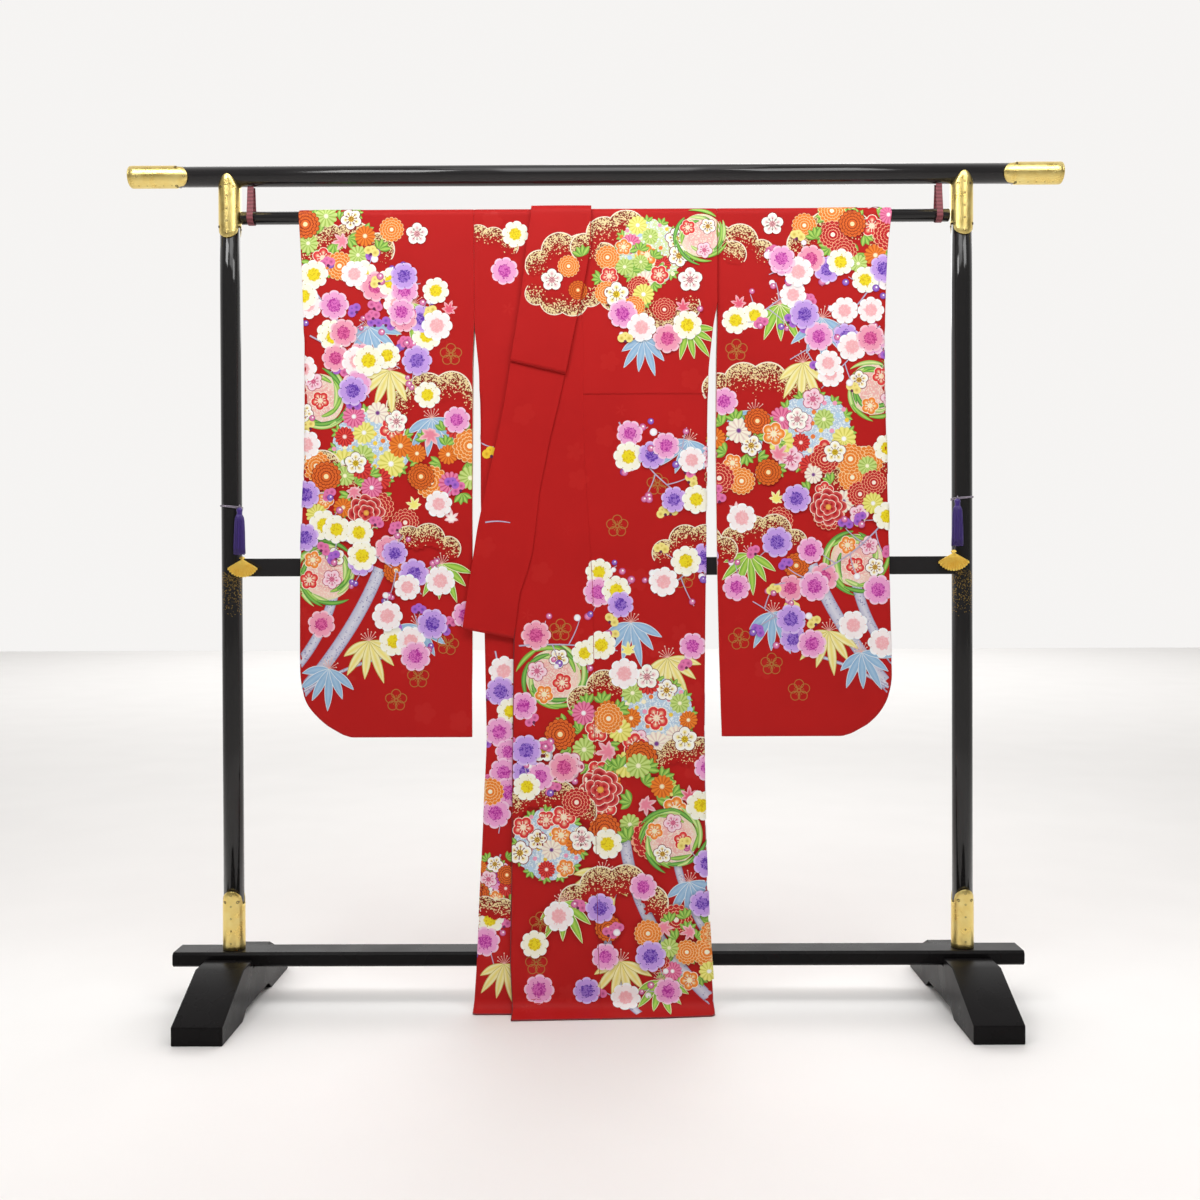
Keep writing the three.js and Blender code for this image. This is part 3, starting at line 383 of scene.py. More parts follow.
CREASES = {
    # x and s of both ends, half width, height: soft ridges that the shared folds don't carry
    "body_left": [
        (66, 1505, 22, 1200, 24, 1.6), (205, 1470, 172, 1190, 26, 1.5), (100, 1175, 78, 900, 30, 1.8),
        (186, 1160, 176, 760, 26, 1.6), (18, 1150, 8, 640, 24, 1.2), (96, 700, 108, 260, 34, 1.8),
        (180, 520, 192, 110, 28, 1.5), (30, 420, 40, 120, 30, 1.4),
    ],
    "okumi_upper": [
        (-92, 1050, -120, 620, 26, 1.4), (-60, 640, -76, 200, 30, 1.8), (-134, 560, -138, 110, 24, 1.4),
    ],
    "sleeve_right": [
        (-545, 1480, -530, 1150, 26, 1.5), (-450, 1420, -438, 900, 30, 1.6), (-350, 1380, -356, 980, 26, 1.3),
        (-262, 1290, -264, 700, 24, 1.6), (-470, 900, -500, 590, 30, 1.8), (-330, 860, -345, 560, 28, 1.5),
    ],
    "sleeve_left": [
        (545, 1470, 532, 1120, 26, 1.5), (452, 1430, 440, 940, 30, 1.6), (352, 1400, 350, 1010, 26, 1.3),
        (262, 1280, 262, 720, 24, 1.6), (478, 880, 504, 600, 30, 1.8), (322, 840, 340, 560, 28, 1.5),
    ],
    "back": [
        (-120, 1400, -132, 900, 34, 1.8), (20, 1360, 8, 800, 34, 1.6), (-60, 820, -84, 240, 36, 2.0),
        (120, 1340, 128, 760, 34, 1.8), (30, 640, 44, 160, 34, 1.8), (150, 600, 162, 130, 30, 1.6),
        (-170, 600, -182, 140, 30, 1.6),
    ],
}


def fold_depth(x, z):
    """How far the shared folds push the cloth forward: the sum of depth * exp(-(distance / width)^2),
    each faded in and out over FOLD_FADE at its ends."""
    total = np.zeros(np.broadcast(x, z).shape)
    for x0, lean, top, bottom, width, depth in FOLDS:
        off = (x - x0 - lean * (z - (top + bottom) / 2)) / width
        ends = smoothstep(bottom, bottom + FOLD_FADE, z) * (1 - smoothstep(top - FOLD_FADE, top, z))
        total = total + depth * np.exp(-off * off) * ends
    return total


def crease_height(rows, x, s):
    """Ridges about straight lines: height * exp(-(distance / width)^2), faded in and out at both ends."""
    total = np.zeros(np.broadcast(x, s).shape)
    for x0, s0, x1, s1, width, height in rows:
        length = math.hypot(x1 - x0, s1 - s0)
        t = ((x - x0) * (x1 - x0) + (s - s0) * (s1 - s0)) / length**2
        off = ((x - x0) * (s1 - s0) - (s - s0) * (x1 - x0)) / length
        ends = smoothstep(-0.1, 0.3, t) * (1 - smoothstep(0.7, 1.1, t))
        total = total + height * np.exp(-((off / width) ** 2)) * ends
    return total


def spread_share(z):
    """How much of their distance apart the layers have: none on the rod, all of it from SPREAD down."""
    return np.clip((ROD_Z - z) / (ROD_Z - SPREAD), 0, 1)


def body_path(column, layers, floor):
    """Rows (h, y, z) from a hem to the rod. h is the height down to FLOOR_TOP and goes on as length."""
    z = np.array([115, 250, 400, 560, 714, 830, 870, 1000, 1100, 1250, 1367, 1420, 1470, ROD_Z], float)
    y = at_height(HANG, column, z) - layers * spread_share(z)
    floor = np.array(floor, float)
    steps = np.hypot(*np.diff(np.vstack([floor, [y[0], z[0]]]), axis=0).T)
    h = FLOOR_TOP - np.cumsum(steps[::-1])[::-1]
    return {"h": np.r_[h, z], "y": np.r_[floor[:, 0], y], "z": np.r_[floor[:, 1], z]}


def sleeve_path(column):
    z = SLEEVE_HANG["z"]
    return {"h": z, "y": SLEEVE_HANG[column], "z": z}


def height_of(s):
    """The path coordinate h for a place s along the cloth: s itself on the front, mirrored on the back."""
    return np.minimum(np.minimum(s, ROD_Z + OVER - s), ROD_Z)


class Panel:
    """A sheet on the shared pattern grid: x across, and s along the cloth from the front hem up over
    the rod and down the back. left and right give its edges, front and back its paths."""

    def __init__(self, name, left, right, front, back=None, sewn=None):
        self.name, self.left_edge, self.right_edge = name, left, right
        self.front, self.back, self.sewn = front, back or front, sewn
        self.span = [self.front["h"][0], ROD_Z + OVER - self.back["h"][0]]

    def edge(self, columns, s):
        """An edge's x: the first table column on the front, the second on the back."""
        rows, front_column, back_column = columns
        h = height_of(s)
        front = along(rows, front_column, h)
        if back_column == front_column:
            return front
        return np.where(s <= (ROD_Z + OVER) / 2, front, along(rows, back_column, h))

    def left(self, s):
        return self.edge(self.left_edge, s)

    def right(self, s):
        return self.edge(self.right_edge, s)

    def closeness(self, x, s):
        """1 where front and back hang apart, falling as a quarter circle to 0 on an edge that is sewn."""
        side, top, reach, bottom = self.sewn
        h = height_of(s)
        edge = self.left(s) if side == "left" else self.right(s)
        step = 2.0
        other = self.left(s + step) if side == "left" else self.right(s + step)
        slope = (other - edge) / step
        inside = (x - edge) * (1 if side == "left" else -1) / np.sqrt(1 + slope**2)
        near = 1 - np.clip(inside / reach, 0, 1)
        shut = 1 - smoothstep(top, top + 30, h)
        apart = 1 - shut * (1 - np.sqrt(np.clip(1 - near**2, 0, 1)))
        if bottom is not None:
            rise = 1 - np.clip((h - bottom) / reach, 0, 1)
            apart = np.minimum(apart, np.sqrt(np.clip(1 - rise**2, 0, 1)))
        return apart

    def surface(self, x, s):
        """The middle of the cloth: its path's y and z, drawn together at sewn edges, with its folds."""
        x, s = np.broadcast_arrays(np.asarray(x, float), np.asarray(s, float))
        h = height_of(s)
        y_front, z_front = along(self.front, "y", h), along(self.front, "z", h)
        y_back, z_back = along(self.back, "y", h), along(self.back, "z", h)
        if self.front is UPPER_PATH:
            end, rise = self.front["h"][0], self.front["h"][2]
            trailing = np.clip((rise - h) / (rise - end), 0, 1)
            y_front = y_front + (np.interp(x, UPPER_HEM["x"], UPPER_HEM["y"]) - HEM_MIDDLE) * trailing
        is_front = s <= (ROD_Z + OVER) / 2
        y, z = np.where(is_front, y_front, y_back), np.where(is_front, z_front, z_back)
        if self.sewn:
            apart = self.closeness(x, s)
            y_mid, z_mid = (y_front + y_back) / 2, (z_front + z_back) / 2
            y, z = y_mid + (y - y_mid) * apart, z_mid + (z - z_mid) * apart
        angle = np.clip((s - ROD_Z) / SHOULDER, 0, math.pi)
        on_rod = (s > ROD_Z) & (s < OVER)
        y = np.where(on_rod, -SHOULDER * np.cos(angle), y)
        z = np.where(on_rod, ROD_Z + SHOULDER * np.sin(angle), z)
        y = y - fold_depth(x, z) * (h < ROD_Z)
        own = crease_height(CREASES.get(self.name, []), x, s)
        own_back = crease_height(CREASES["back"], x, ROD_Z + OVER - s) if self.name in BACK_CREASED else 0
        y = y - np.where(is_front, own, 0) + np.where(is_front, 0, own_back)
        if self.name == "body_left":
            y = y - np.where(is_front & (s > TUCK_Z), 1.1 * np.exp(-(s - TUCK_Z) / 22), 0)
        return np.stack([x, y, z], -1)

    def place(self, x, s, lift):
        """A place on the surface, moved out along its normal by lift."""
        step = 0.8
        across = self.surface(x + step, s) - self.surface(x - step, s)
        up = self.surface(x, s + step) - self.surface(x, s - step)
        normal = np.cross(across, up)
        normal /= np.maximum(np.linalg.norm(normal, axis=-1, keepdims=True), 1e-9)
        edge = np.minimum(x - self.left(s), self.right(s) - x)
        roll = SEAM_ROLL * np.exp(-((edge / SEAM_ROLL_WIDTH) ** 2))
        return self.surface(x, s) + normal * (lift - roll)[..., None]


SEAM_ROLL, SEAM_ROLL_WIDTH = 0.5, 2.6  # each panel dips where it is sewn to the next
BACK_CREASED = ("body_right", "body_left")
BODY_SEAM = 5.0
OVERLAP_TOP = 1357.0
SLEEVE_PATHS = (sleeve_path("front"), sleeve_path("back"))
UPPER_PATH = body_path("front", UPPER_LAYERS, FLOOR_UPPER_FRONT)
UNDER_PATH = body_path("front", 0, FLOOR_UNDER_FRONT)
PANEL_ROWS = [
    # name, left and right edge, paths of the front and the back, sewn edge
    ("sleeve_right", (SLEEVE_RIGHT, "outer", "outer"), (SLEEVE_RIGHT, "inner", "inner"), *SLEEVE_PATHS,
     ("left", CUFF - 30, 4.0, 523.0)),
    ("sleeve_left", (SLEEVE_LEFT, "inner", "inner"), (SLEEVE_LEFT, "outer", "outer"), *SLEEVE_PATHS,
     ("right", CUFF - 30, 4.0, 523.0)),
    ("body_right", (BODY_SIDE, "right", "right"), (FRONT_EDGE, "right_front", "right_back"), UNDER_PATH,
     body_path("back", 0, FLOOR_RIGHT_BACK), ("left", UNDERARM, BODY_SEAM, None)),
    ("body_left", (FRONT_EDGE, "left_front", "left_back"), (BODY_SIDE, "left", "left"), UPPER_PATH,
     body_path("back", 2 * LAYER, FLOOR_LEFT_BACK), ("right", UNDERARM, BODY_SEAM, None)),
    ("okumi_upper", (OVERLAP_EDGE, "upper", "upper"), (FRONT_EDGE, "left_front", "left_front"), UPPER_PATH),
    ("okumi_under", (FRONT_EDGE, "right_front", "right_front"), (OVERLAP_EDGE, "under", "under"), UNDER_PATH),
]
PANELS = {row[0]: Panel(*row) for row in PANEL_ROWS}
for overlap in ("okumi_upper", "okumi_under"):
    PANELS[overlap].span[1] = OVERLAP_TOP


# ---------------------------------------------------------------- cloth and its dyes

RED, CREAM, LILAC_GREY = "#b81817", "#f6ecd8", "#cfc9dc"


def cloth_place(tree):
    return add_node(tree, "UVMap", uv_map="cloth").outputs["UV"]


def crepe_bump(tree, place, strength):
    """Crepe's pebbled face. Its real grain is 0.5 mm; it is drawn at 2.4 mm, the smallest that shows."""
    grain = add_node(tree, "TexNoise", {"Vector": place, "Scale": 1 / 0.0024, "Detail": 2.0})
    return add_node(tree, "Bump", {"Height": grain, "Strength": strength, "Distance": 0.0006})


def damask_share(tree, place):
    """Woven blossoms: in each Voronoi cell, 1 inside radius * (0.72 + 0.28 |cos 2.5 a|) about its middle."""
    pitch, radius = 0.075, 0.30
    cells = add_node(tree, "TexVoronoi", {"Vector": place, "Scale": 1 / pitch, "Randomness": 0.75})
    local = add_node(tree, "VectorMath", {0: place, 1: cells.outputs["Position"]}, operation="SUBTRACT")
    parts = add_node(tree, "SeparateXYZ", {0: local})
    angle = add_node(tree, "Math", {0: parts.outputs["Y"], 1: parts.outputs["X"]}, operation="ARCTAN2")
    turn = add_node(tree, "Math", {0: angle, 1: 2.5}, operation="MULTIPLY")
    wave = add_node(tree, "Math", {0: turn}, operation="COSINE")
    lobe = add_node(tree, "Math", {0: wave}, operation="ABSOLUTE")
    rim = add_node(tree, "Math", {0: lobe, 1: 0.28 * radius, 2: 0.72 * radius}, operation="MULTIPLY_ADD")
    inside = add_node(tree, "Math", {0: rim, 1: cells.outputs["Distance"]}, operation="SUBTRACT")
    return add_node(tree, "MapRange", {0: inside, 1: -0.02, 2: 0.03, 3: 0.0, 4: 1.0})


def silk_ground(tree):
    # Chirimen silk crepe in a damask weave, piece dyed: a soft sheen, pebbled, with tone-on-tone blossoms
    # that are glossier and painted lighter in colour, a painted sheen.
    place = cloth_place(tree)
    damask = damask_share(tree, place)
    cloud = add_node(tree, "TexNoise", {"Vector": place, "Scale": 5.0, "Detail": 3.0})
    tone = add_node(tree, "Mix", {0: cloud, 6: rgba("#ae1414"), 7: rgba("#c21c1a")}, data_type="RGBA")
    # Painted sheen: the blossoms' colour is mixed 12% towards a lighter red.
    painted_sheen = add_node(tree, "Math", {0: damask, 1: 0.12}, operation="MULTIPLY")
    ground_with_painted_sheen = add_node(tree, "Mix", {0: painted_sheen, 6: tone, 7: rgba("#d8443c")}, data_type="RGBA")
    gloss = add_node(tree, "MapRange", {0: damask, 3: 0.56, 4: 0.40})
    bump = crepe_bump(tree, place, 0.22)
    return {"Base Color": ground_with_painted_sheen, "Roughness": gloss, "Normal": bump,
            "Specular IOR Level": 0.16,
            "Sheen Weight": 0.06, "Sheen Roughness": 0.4, "Sheen Tint": rgba("#d83a34")}


def dyed_pattern(tree):
    # The same crepe, yuzen dyed by hand: flat clear colours inside fine resist lines, some of them speckled.
    place = cloth_place(tree)
    dye = add_node(tree, "Attribute", attribute_name="dye").outputs["Color"]
    speck_dye = add_node(tree, "Attribute", attribute_name="speck_dye").outputs["Color"]
    share = add_node(tree, "Attribute", attribute_name="speck_share").outputs["Fac"]
    grains = add_node(tree, "TexVoronoi", {"Vector": place, "Scale": 1 / 0.0021})
    chance = add_node(tree, "SeparateColor", {0: grains.outputs["Color"]})
    drawn = add_node(tree, "Math", {0: share, 1: chance}, operation="GREATER_THAN")
    speckled = add_node(tree, "Mix", {0: drawn, 6: dye, 7: speck_dye}, data_type="RGBA")
    cloud = add_node(tree, "TexNoise", {"Vector": place, "Scale": 60.0, "Detail": 2.0})
    tint = add_node(tree, "MapRange", {0: cloud, 3: 0.93, 4: 1.05})
    worn = add_node(tree, "Mix", {0: 1.0, 6: speckled, 7: tint}, data_type="RGBA",
                    blend_type="MULTIPLY")
    bump = crepe_bump(tree, place, 0.18)
    return {"Base Color": worn, "Roughness": 0.52, "Normal": bump, "Specular IOR Level": 0.16}


def silk_lining(tree):
    # Plain-weave silk: undyed inside the sleeves and shoulders, red towards the hem, finer than the crepe.
    place = add_node(tree, "TexCoord").outputs["Object"]
    height = add_node(tree, "SeparateXYZ", {0: place}).outputs["Z"]
    low = add_node(tree, "MapRange", {0: height, 1: 0.50, 2: 0.46, 3: 0.0, 4: 1.0})
    tone = add_node(tree, "Mix", {0: low, 6: rgba("#efe2d2"), 7: rgba("#a5121a")}, data_type="RGBA")
    weave = add_node(tree, "TexWave", {"Vector": place, "Scale": 260.0}, bands_direction="Z")
    bump = add_node(tree, "Bump", {"Height": weave.outputs[1], "Strength": 0.08, "Distance": 0.0003})
    return {"Base Color": tone, "Roughness": 0.5, "Normal": bump, "Sheen Weight": 0.1}


def hem_silk(tree):
    # Habutai lining rolled over a wadded core: darker and smoother than the crepe above it.
    place = add_node(tree, "TexCoord").outputs["Object"]
    pull_relief_and_shade = add_node(tree, "TexNoise", {"Vector": place, "Scale": 90.0, "Detail": 2.0})
    # Painted shade: the colour darkens where the pulled wrinkles sink and lightens on their crests.
    tone = add_node(tree, "Mix", {0: pull_relief_and_shade, 6: rgba("#6d0a12"), 7: rgba("#8a0f18")}, data_type="RGBA")
    bump = add_node(tree, "Bump", {"Height": pull_relief_and_shade, "Strength": 0.3, "Distance": 0.0008})
    return {"Base Color": tone, "Roughness": 0.45, "Normal": bump, "Sheen Weight": 0.1}


GROUND = new_material("damask silk crepe, red", silk_ground)
PATTERN = new_material("yuzen dyed silk crepe", dyed_pattern)
LINING = new_material("plain silk lining", silk_lining)
HEM = new_material("wadded silk hem", hem_silk)


def edge_spaced(steps, first):
    """Shares from 0 to 1, close together near both edges so that a seam's dip is round."""
    inner = np.linspace(0, 1, steps)[1:-1]
    near = np.array([first * 0.5, first, first * 2])
    return np.unique(np.round(np.concatenate([[0, 1], near, 1 - near, inner[(inner > first * 2.5)
                                              & (inner < 1 - first * 2.5)]]), 5))


def cloth_levels(panel):
    """Places along the cloth: 9 mm apart, 2.8 mm over the rod, and closer at hems and at the tuck."""
    low, high = panel.span
    coarse = np.arange(low, high, 9.0)
    near_low = low + np.array([0, 1, 2, 3.5, 5, 7])
    near_high = high - np.array([0, 1, 2, 3.5, 5, 7])
    rod = np.linspace(ROD_Z, OVER, 17) if high > ROD_Z else []
    tuck = TUCK_Z + np.array([-1.2, 0.0, 0.6, 3.0]) if panel.name == "body_left" else []
    s = np.unique(np.round(np.concatenate([coarse, near_low, near_high, rod, tuck]), 4))
    if panel.sewn and panel.sewn[3] is not None:
        low_corner = low + 110 * (1 - np.cos(np.linspace(0, np.pi / 2, 18)))
        s = np.unique(np.round(np.concatenate([s, low_corner, low + high - low_corner]), 3))
    return s


def panel_grid(panel):
    s = cloth_levels(panel)
    width = float(np.max(panel.right(s) - panel.left(s)))
    t = edge_spaced(max(8, int(width / 9)), 1.6 / width)
    left, right = panel.left(s)[:, None], panel.right(s)[:, None]
    x = left + (right - left) * t[None, :]
    return x, np.broadcast_to(s[:, None], x.shape)


def finish_cloth(mesh, name, lining, rim):
    """Gives a sheet its thickness about its middle, with the lining on its inner side."""
    piece = new_object(name, mesh, GROUND, LINING, HEM)
    wall = piece.modifiers.new("thickness", "SOLIDIFY")
    wall.thickness = WALL * MM
    wall.offset = 0.0
    wall.material_offset = lining
    wall.material_offset_rim = rim
    return piece


def make_panel(panel):
    x, s = panel_grid(panel)
    points = panel.place(x.ravel(), s.ravel(), np.zeros(x.size))
    mesh = new_mesh(panel.name, points, [grid_faces(*x.shape)])
    set_uv(mesh, "cloth", np.stack([x.ravel(), s.ravel()], -1) * MM)
    return mesh


def make_back_pleat():
    """The left back turned under at its inner edge: a half circle of radius LAYER / 2, then flat."""
    z = np.concatenate([np.arange(24.0, 1400, 12), [1410, 1420]])
    fold, seam = along(FRONT_EDGE, "left_back", z), along(FRONT_EDGE, "right_back", z) - 4
    back = at_height(HANG, "back", z)
    turn = np.linspace(-np.pi / 2, -3 * np.pi / 2, 9)
    flat = np.linspace(0, 1, 9)[1:]
    x_turn = fold[:, None] + np.cos(turn) * LAYER / 2
    x_flat = fold[:, None] + (np.maximum(seam, fold + 2) - fold)[:, None] * flat
    y_turn = np.repeat((-1.5 * LAYER + np.sin(turn) * LAYER / 2)[None], len(z), 0)
    y_flat = np.full(x_flat.shape, -LAYER)
    x = np.concatenate([x_turn, x_flat], 1)
    y = back[:, None] + np.concatenate([y_turn, y_flat], 1)
    y = y - fold_depth(x, z[:, None])
    grid = np.stack([x, y, np.repeat(z[:, None], x.shape[1], 1)], -1)
    pleat = new_mesh("pleat", grid.reshape(-1, 3), [grid_faces(*x.shape)])
    set_uv(pleat, "cloth", np.stack([x.ravel(), np.repeat(ROD_Z + OVER - z, x.shape[1])], -1) * MM)
    return pleat


def merge_meshes(name, meshes):
    """Puts several meshes with the same UV map into one."""
    work = bmesh.new()
    for mesh in meshes:
        work.from_mesh(mesh)
    mesh = bpy.data.meshes.new(name)
    work.to_mesh(mesh)
    work.free()
    return mesh


def make_garment_panels():
    for name, panel in PANELS.items():
        mesh = make_panel(panel)
        if name == "body_left":
            mesh = merge_meshes(name, [mesh, make_back_pleat()])
        weld(mesh, 0.05)
        piece = finish_cloth(mesh, name + "_cloth", 1, int(name.startswith("sleeve")))
        keep(piece, "silk", name)


def collar_sheet(name, rows, steps, crown):
    """A sheet from rows of (left x, right x, y, left z, right z): each column is softened along the
    strip's length, folds are added, and the middle of the width is raised by crown * (1 - (2t - 1)^2)."""
    rows = np.array(rows, float)
    middle = np.stack([rows[:, 2], (rows[:, 3] + rows[:, 4]) / 2], -1)
    length = np.concatenate([[0], np.cumsum(np.hypot(*np.diff(middle, axis=0).T))])
    strip = dict(zip("length left right y z_left z_right".split(), [length, *rows.T]))
    where = np.unique(np.concatenate([np.arange(0, length[-1], 7.0), length]))
    reach = {"y": 2.0, "z_left": 2.0, "z_right": 2.0}
    soft = {key: along(strip, key, where, reach.get(key, 12.0)) for key in strip}
    t = edge_spaced(steps, 0.014)
    x = soft["left"][:, None] + (soft["right"] - soft["left"])[:, None] * t
    z = soft["z_left"][:, None] + (soft["z_right"] - soft["z_left"])[:, None] * t
    y = soft["y"][:, None] - fold_depth(x, z)
    grid = np.stack([x, y, z], -1)
    bulge = crown * (1 - (2 * t - 1) ** 2)
    grid = grid + grid_normals(grid) * bulge[None, :, None]
    mesh = new_mesh(name, grid.reshape(-1, 3), [grid_faces(*x.shape)])
    uv = np.stack([x - soft["left"][:, None], np.repeat(where[:, None], x.shape[1], 1)], -1)
    set_uv(mesh, "cloth", uv.reshape(-1, 2) * MM)
    return mesh, length[-1]


def rod_rows(left, right, radius):
    """Rows over the rod from front to back."""
    angle = np.linspace(0, np.pi, 17)[1:-1]
    return [(left, right, -radius * math.cos(a), *[ROD_Z + radius * math.sin(a)] * 2) for a in angle]


def collar_y(z, extra=0.0):
    """The open collar's forward place: one layer further out than the front, all of it from SPREAD down."""
    on_rod = COLLAR_RADIUS - SHOULDER
    return float(at_height(HANG, "front", z) - on_rod - (COLLAR_LAYERS - on_rod) * spread_share(z) - extra)


def collar_edges(low, high, margin=0.0):
    """The open collar's left edge at one height and its right edge at another."""
    return at_height(COLLAR, "left", low) - margin, at_height(COLLAR, "right", high) + margin


def make_collar():
    """The strip from its slanting lower end up the open front, over the rod, round the fold behind the
    neck, back over the rod and down the hidden right front."""
    x_left, z_left, x_right, z_right = COLLAR_END
    left, right = collar_edges(COLLAR_CORNER, COLLAR_CORNER)
    rows = []
    for t in np.linspace(0, 1, 8)[:-1]:
        low, high = z_left + (COLLAR_CORNER - z_left) * t, z_right + (COLLAR_CORNER - z_right) * t
        rows.append((x_left + (left - x_left) * t, x_right + (right - x_right) * t,
                     collar_y((low + high) / 2), low, high))
    rows += [(*collar_edges(z, z), collar_y(z), z, z) for z in COLLAR_LEVELS]
    top = (COLLAR["left"][-1], COLLAR["right"][-1])
    hidden_top = (COLLAR_HIDDEN["left"][-1], COLLAR_HIDDEN["right"][-1])
    rows += rod_rows(*top, COLLAR_RADIUS)
    back = at_height(HANG, "back", [ROD_Z, COLLAR_BACK_DROP])
    outer, inner = back + COLLAR_RADIUS - SHOULDER, back + COLLAR_HIDDEN_RADIUS - SHOULDER
    turn = (outer[1] - inner[1]) / 2
    rows += [(*top, y, z, z) for y, z in zip(outer, (ROD_Z, COLLAR_BACK_DROP))]
    for angle in np.linspace(0, np.pi, 7)[1:-1]:
        x = [a + (b - a) * (angle / np.pi) for a, b in zip(top, hidden_top)]
        z = COLLAR_BACK_DROP - turn * math.sin(angle)
        rows.append((*x, outer[1] - turn + turn * math.cos(angle), z, z))
    rows += [(*hidden_top, y, z, z) for y, z in zip(inner[::-1], (COLLAR_BACK_DROP, ROD_Z))]
    rows += rod_rows(*hidden_top, COLLAR_HIDDEN_RADIUS)[::-1]
    for z in [*COLLAR_LEVELS[:0:-1], 714]:
        y = at_height(HANG, "front", z) - (COLLAR_HIDDEN_RADIUS - SHOULDER)
        rows.append((at_height(COLLAR_HIDDEN, "left", z), at_height(COLLAR_HIDDEN, "right", z), y, z, z))
    mesh, length = collar_sheet("collar", rows, 14, 0.35)
    piece = keep(finish_cloth(mesh, "collar_cloth", 0, 0), "silk", "collar")


def make_over_collar():
    rows = []
    for t in np.linspace(0, 1, 4)[:-1]:
        low, high = (z + (OVER_COLLAR_SQUARE - z) * t for z in (OVER_COLLAR_LEFT, OVER_COLLAR_RIGHT))
        y = collar_y((low + high) / 2, LAYER + OVER_COLLAR_LIFT * (1 - t))
        rows.append((*collar_edges(low, high, 1), y, low, high))
    rows += [(*collar_edges(z, z, 1), collar_y(z, LAYER), z, z)
             for z in COLLAR_LEVELS[COLLAR_LEVELS.index(OVER_COLLAR_SQUARE):]]
    top = collar_edges(ROD_Z, ROD_Z, 1)
    rows += rod_rows(*top, OVER_COLLAR_RADIUS)
    rows += [(*top, at_height(HANG, "back", z) + OVER_COLLAR_RADIUS - SHOULDER, z, z)
             for z in (ROD_Z, COLLAR_BACK_DROP)]
    mesh, length = collar_sheet("over_collar", rows, 14, 0.4)
    piece = keep(finish_cloth(mesh, "over_collar_cloth", 0, 0), "silk", "over_collar")


def make_hem_rolls():
    """The wadded roll along each hem and up each front edge: a pipe that follows the panel's edge."""
    runs = []
    for name, end in (("body_right", 1), ("body_right", 0), ("body_left", 1), ("body_left", 0),
                      ("okumi_upper", 0), ("okumi_under", 0)):
        panel = PANELS[name]
        s = panel.span[end]
        x = np.linspace(panel.left(s) + 1, panel.right(s) - 1, 40)
        runs.append((panel.surface(x, np.full(40, s)), 1.5, (0, 0, 1)))
    for name, side, top, inset in (("okumi_upper", "left", 735.0, 0.4),
                                   ("okumi_under", "right", 700.0, -0.4)):
        panel = PANELS[name]
        s = np.linspace(panel.span[0], top, 110)
        runs.append((panel.surface(getattr(panel, side)(s) + inset, s), 1.0, (0, 1, 0)))
    for path, _, _ in runs:
        path[:, 2] = np.maximum(path[:, 2], 1.8)
    points, faces = joined([pipe(path, radius, 8, up) for path, radius, up in runs])
    keep(new_object("hem_rolls", new_mesh("hem_rolls", points, faces), HEM), "silk")


make_garment_panels()
make_collar()
make_over_collar()
make_hem_rolls()

# ---------------------------------------------------------------- dyed motifs

STEP_UP = 0.03  # between the layers of one motif
BETWEEN = 0.02  # between one motif and the next
CLEAR = 0.24  # from the cloth's face to the lowest dye
LEAST_COVER = 5.0


class Shape:
    """Flat dyed shapes in millimetres: places, triangles, and for each place its dye, its speckles' dye,
    how much of it they cover, and its height above the shape's base. covers lists round areas that
    hide all below them, as x, y, radius and height."""

    def __init__(self, xy, faces, dye, speck=None, share=None, height=0.0, covers=None):
        n = len(xy)
        self.xy, self.faces = np.asarray(xy, float), np.asarray(faces, int)
        self.dye = np.broadcast_to(dye, (n, 3)).copy()
        self.speck = self.dye.copy() if speck is None else np.broadcast_to(speck, (n, 3)).copy()
        self.share = np.zeros(n) if share is None else np.broadcast_to(share, (n,)).copy()
        self.height = np.broadcast_to(np.asarray(height, float), (n,)).copy()
        self.covers = np.zeros((0, 4)) if covers is None else np.asarray(covers, float).reshape(-1, 4)

    def moved(self, at=(0.0, 0.0), turn=0.0, size=1.0, lift=0.0):
        """Scaled by size, turned by turn (radians) and moved to at."""
        c, s = math.cos(turn) * size, math.sin(turn) * size
        turned_by = np.array([[c, s], [-s, c]])
        xy = self.xy @ turned_by + np.asarray(at, float)
        covers = self.covers.copy()
        covers[:, :2] = covers[:, :2] @ turned_by + np.asarray(at, float)
        covers[:, 2] *= size
        covers[:, 3] += lift
        return Shape(xy, self.faces, self.dye, self.speck, self.share, self.height + lift, covers)

    @property
    def top(self):
        return float(self.height.max())


def together(shapes):
    """Several shapes as one."""
    starts = np.cumsum([0] + [len(s.xy) for s in shapes[:-1]])
    faces = np.concatenate([s.faces + k for s, k in zip(shapes, starts)])
    columns = {key: np.concatenate([getattr(s, key) for s in shapes])
               for key in ("xy", "dye", "speck", "share", "height", "covers")}
    return Shape(faces=faces, **columns)


def layered(shapes):
    """Shapes laid on each other: each lies one step above the one before."""
    return together([s.moved(lift=k * STEP_UP) for k, s in enumerate(shapes)])


